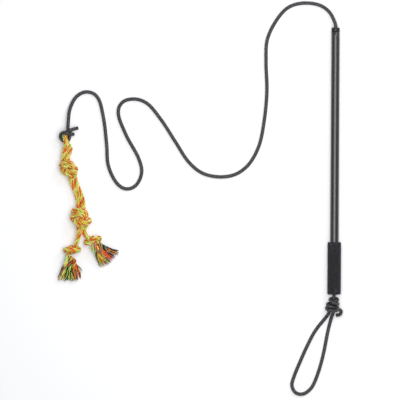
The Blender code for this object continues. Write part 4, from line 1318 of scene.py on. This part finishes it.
def gripFoam():
    half, edge, outer = pole["gripLength"] / 2, pole["gripEdge"], pole["gripRadius"]
    hollow, lip = pole["gripHollow"], 0.0008
    dip = 0.4 * hollow
    lowBore, topBore = pole["buttRadius"] + pole["gap"], tubeRadius(half) + pole["gap"]
    heights = np.linspace(-half + edge, half - edge, skinNoise["rings"])
    side = [(outer, height) for height in heights]
    profile = (
        [(lowBore, -half + hollow), (lowBore + lip, -half + dip)]
        + rounded(outer - edge, -half + edge, edge, -90, 0, 8)
        + side[1:-1]
        + rounded(outer - edge, half - edge, edge, 0, 90, 8)
        + [(topBore + lip, half - dip), (topBore, half - hollow),
           (lowBore, -half + hollow)]
    )
    piece = turnedPiece(
        "gripFoam", profile, skinNoise["sides"], foamLook(), "foam_grip", poredFoam
    )


poleTube()
plugs()
gripFoam()
print("pole turned")

# A pale table under soft studio light
studio = {
    "table": 6.0,
    "tableGap": 0.0002,         # under what lies on it
    "tableColour": (0.90, 0.90, 0.91),
    "tableGlow": 0.14,          # only where it is seen, so that the paper behind reads as white
    "sky": 0.34,
    "skyColour": (0.95, 0.97, 1.0),
    "lamps": [                  # place, aims at, width, depth, brightness of its face
        ((-0.10, 0.25, 2.0), (-0.10, 0.20, 0.0), 1.2, 1.7, 3.7),
        ((1.00, 1.55, 1.70), (-0.25, 0.15, 0.0), 0.9, 0.9, 3.4),
    ],
}


def layTable():
    size = studio["table"]
    mesh = bpy.data.meshes.new("table")
    corners = [(-size, -size, 0), (size, -size, 0), (size, size, 0), (-size, size, 0)]
    mesh.from_pydata(corners, [], [(0, 1, 2, 3)])
    table = bpy.data.objects.new("table", mesh)
    bpy.context.scene.collection.objects.link(table)
    table.location.z = -studio["tableGap"]
    look, tree, shader = newLook("whitePaper", 1.0, Specular_IOR_Level=0.0)
    joinNodes(tree, studio["tableColour"], shader.inputs["Base Color"])
    path = tree.nodes.new("ShaderNodeLightPath")
    seen = path.outputs["Is Camera Ray"]
    for ray in ("Is Glossy Ray", "Is Transmission Ray"):
        seen = reckon(tree, "MAXIMUM", seen, path.outputs[ray])
    glow = tree.nodes.new("ShaderNodeEmission")
    joinNodes(tree, (1.0, 1.0, 1.0), glow.inputs["Color"])
    joinNodes(tree, reckon(tree, "MULTIPLY", seen, studio["tableGlow"]), glow.inputs["Strength"])
    both = tree.nodes.new("ShaderNodeAddShader")
    joinNodes(tree, shader.outputs[0], both.inputs[0])
    joinNodes(tree, glow.outputs[0], both.inputs[1])
    joinNodes(tree, both.outputs[0], tree.nodes["Material Output"].inputs["Surface"])
    mesh.materials.append(look)


def hangLamps():
    for index, (place, aim, width, depth, face) in enumerate(studio["lamps"]):
        lamp = bpy.data.lights.new("softbox%d" % index, "AREA")
        lamp.shape = "RECTANGLE"
        lamp.size, lamp.size_y = width, depth
        lamp.energy = 4 * face * width * depth      # 4 W a square metre for a brightness of 1
        box = bpy.data.objects.new("softbox%d" % index, lamp)
        box.location = place
        box.rotation_euler = (Vector(place) - Vector(aim)).to_track_quat("Z", "Y").to_euler()
        box.visible_camera = False
        bpy.context.scene.collection.objects.link(box)


def lightSky():
    world = bpy.data.worlds.new("studioAir")
    bpy.context.scene.world = world
    world.use_nodes = True
    back = world.node_tree.nodes["Background"]
    back.inputs["Color"].default_value = (*studio["skyColour"], 1.0)
    back.inputs["Strength"].default_value = studio["sky"]


layTable()
hangLamps()
lightSky()
bpy.context.scene.view_settings.view_transform = "Standard"
print("studio lit")
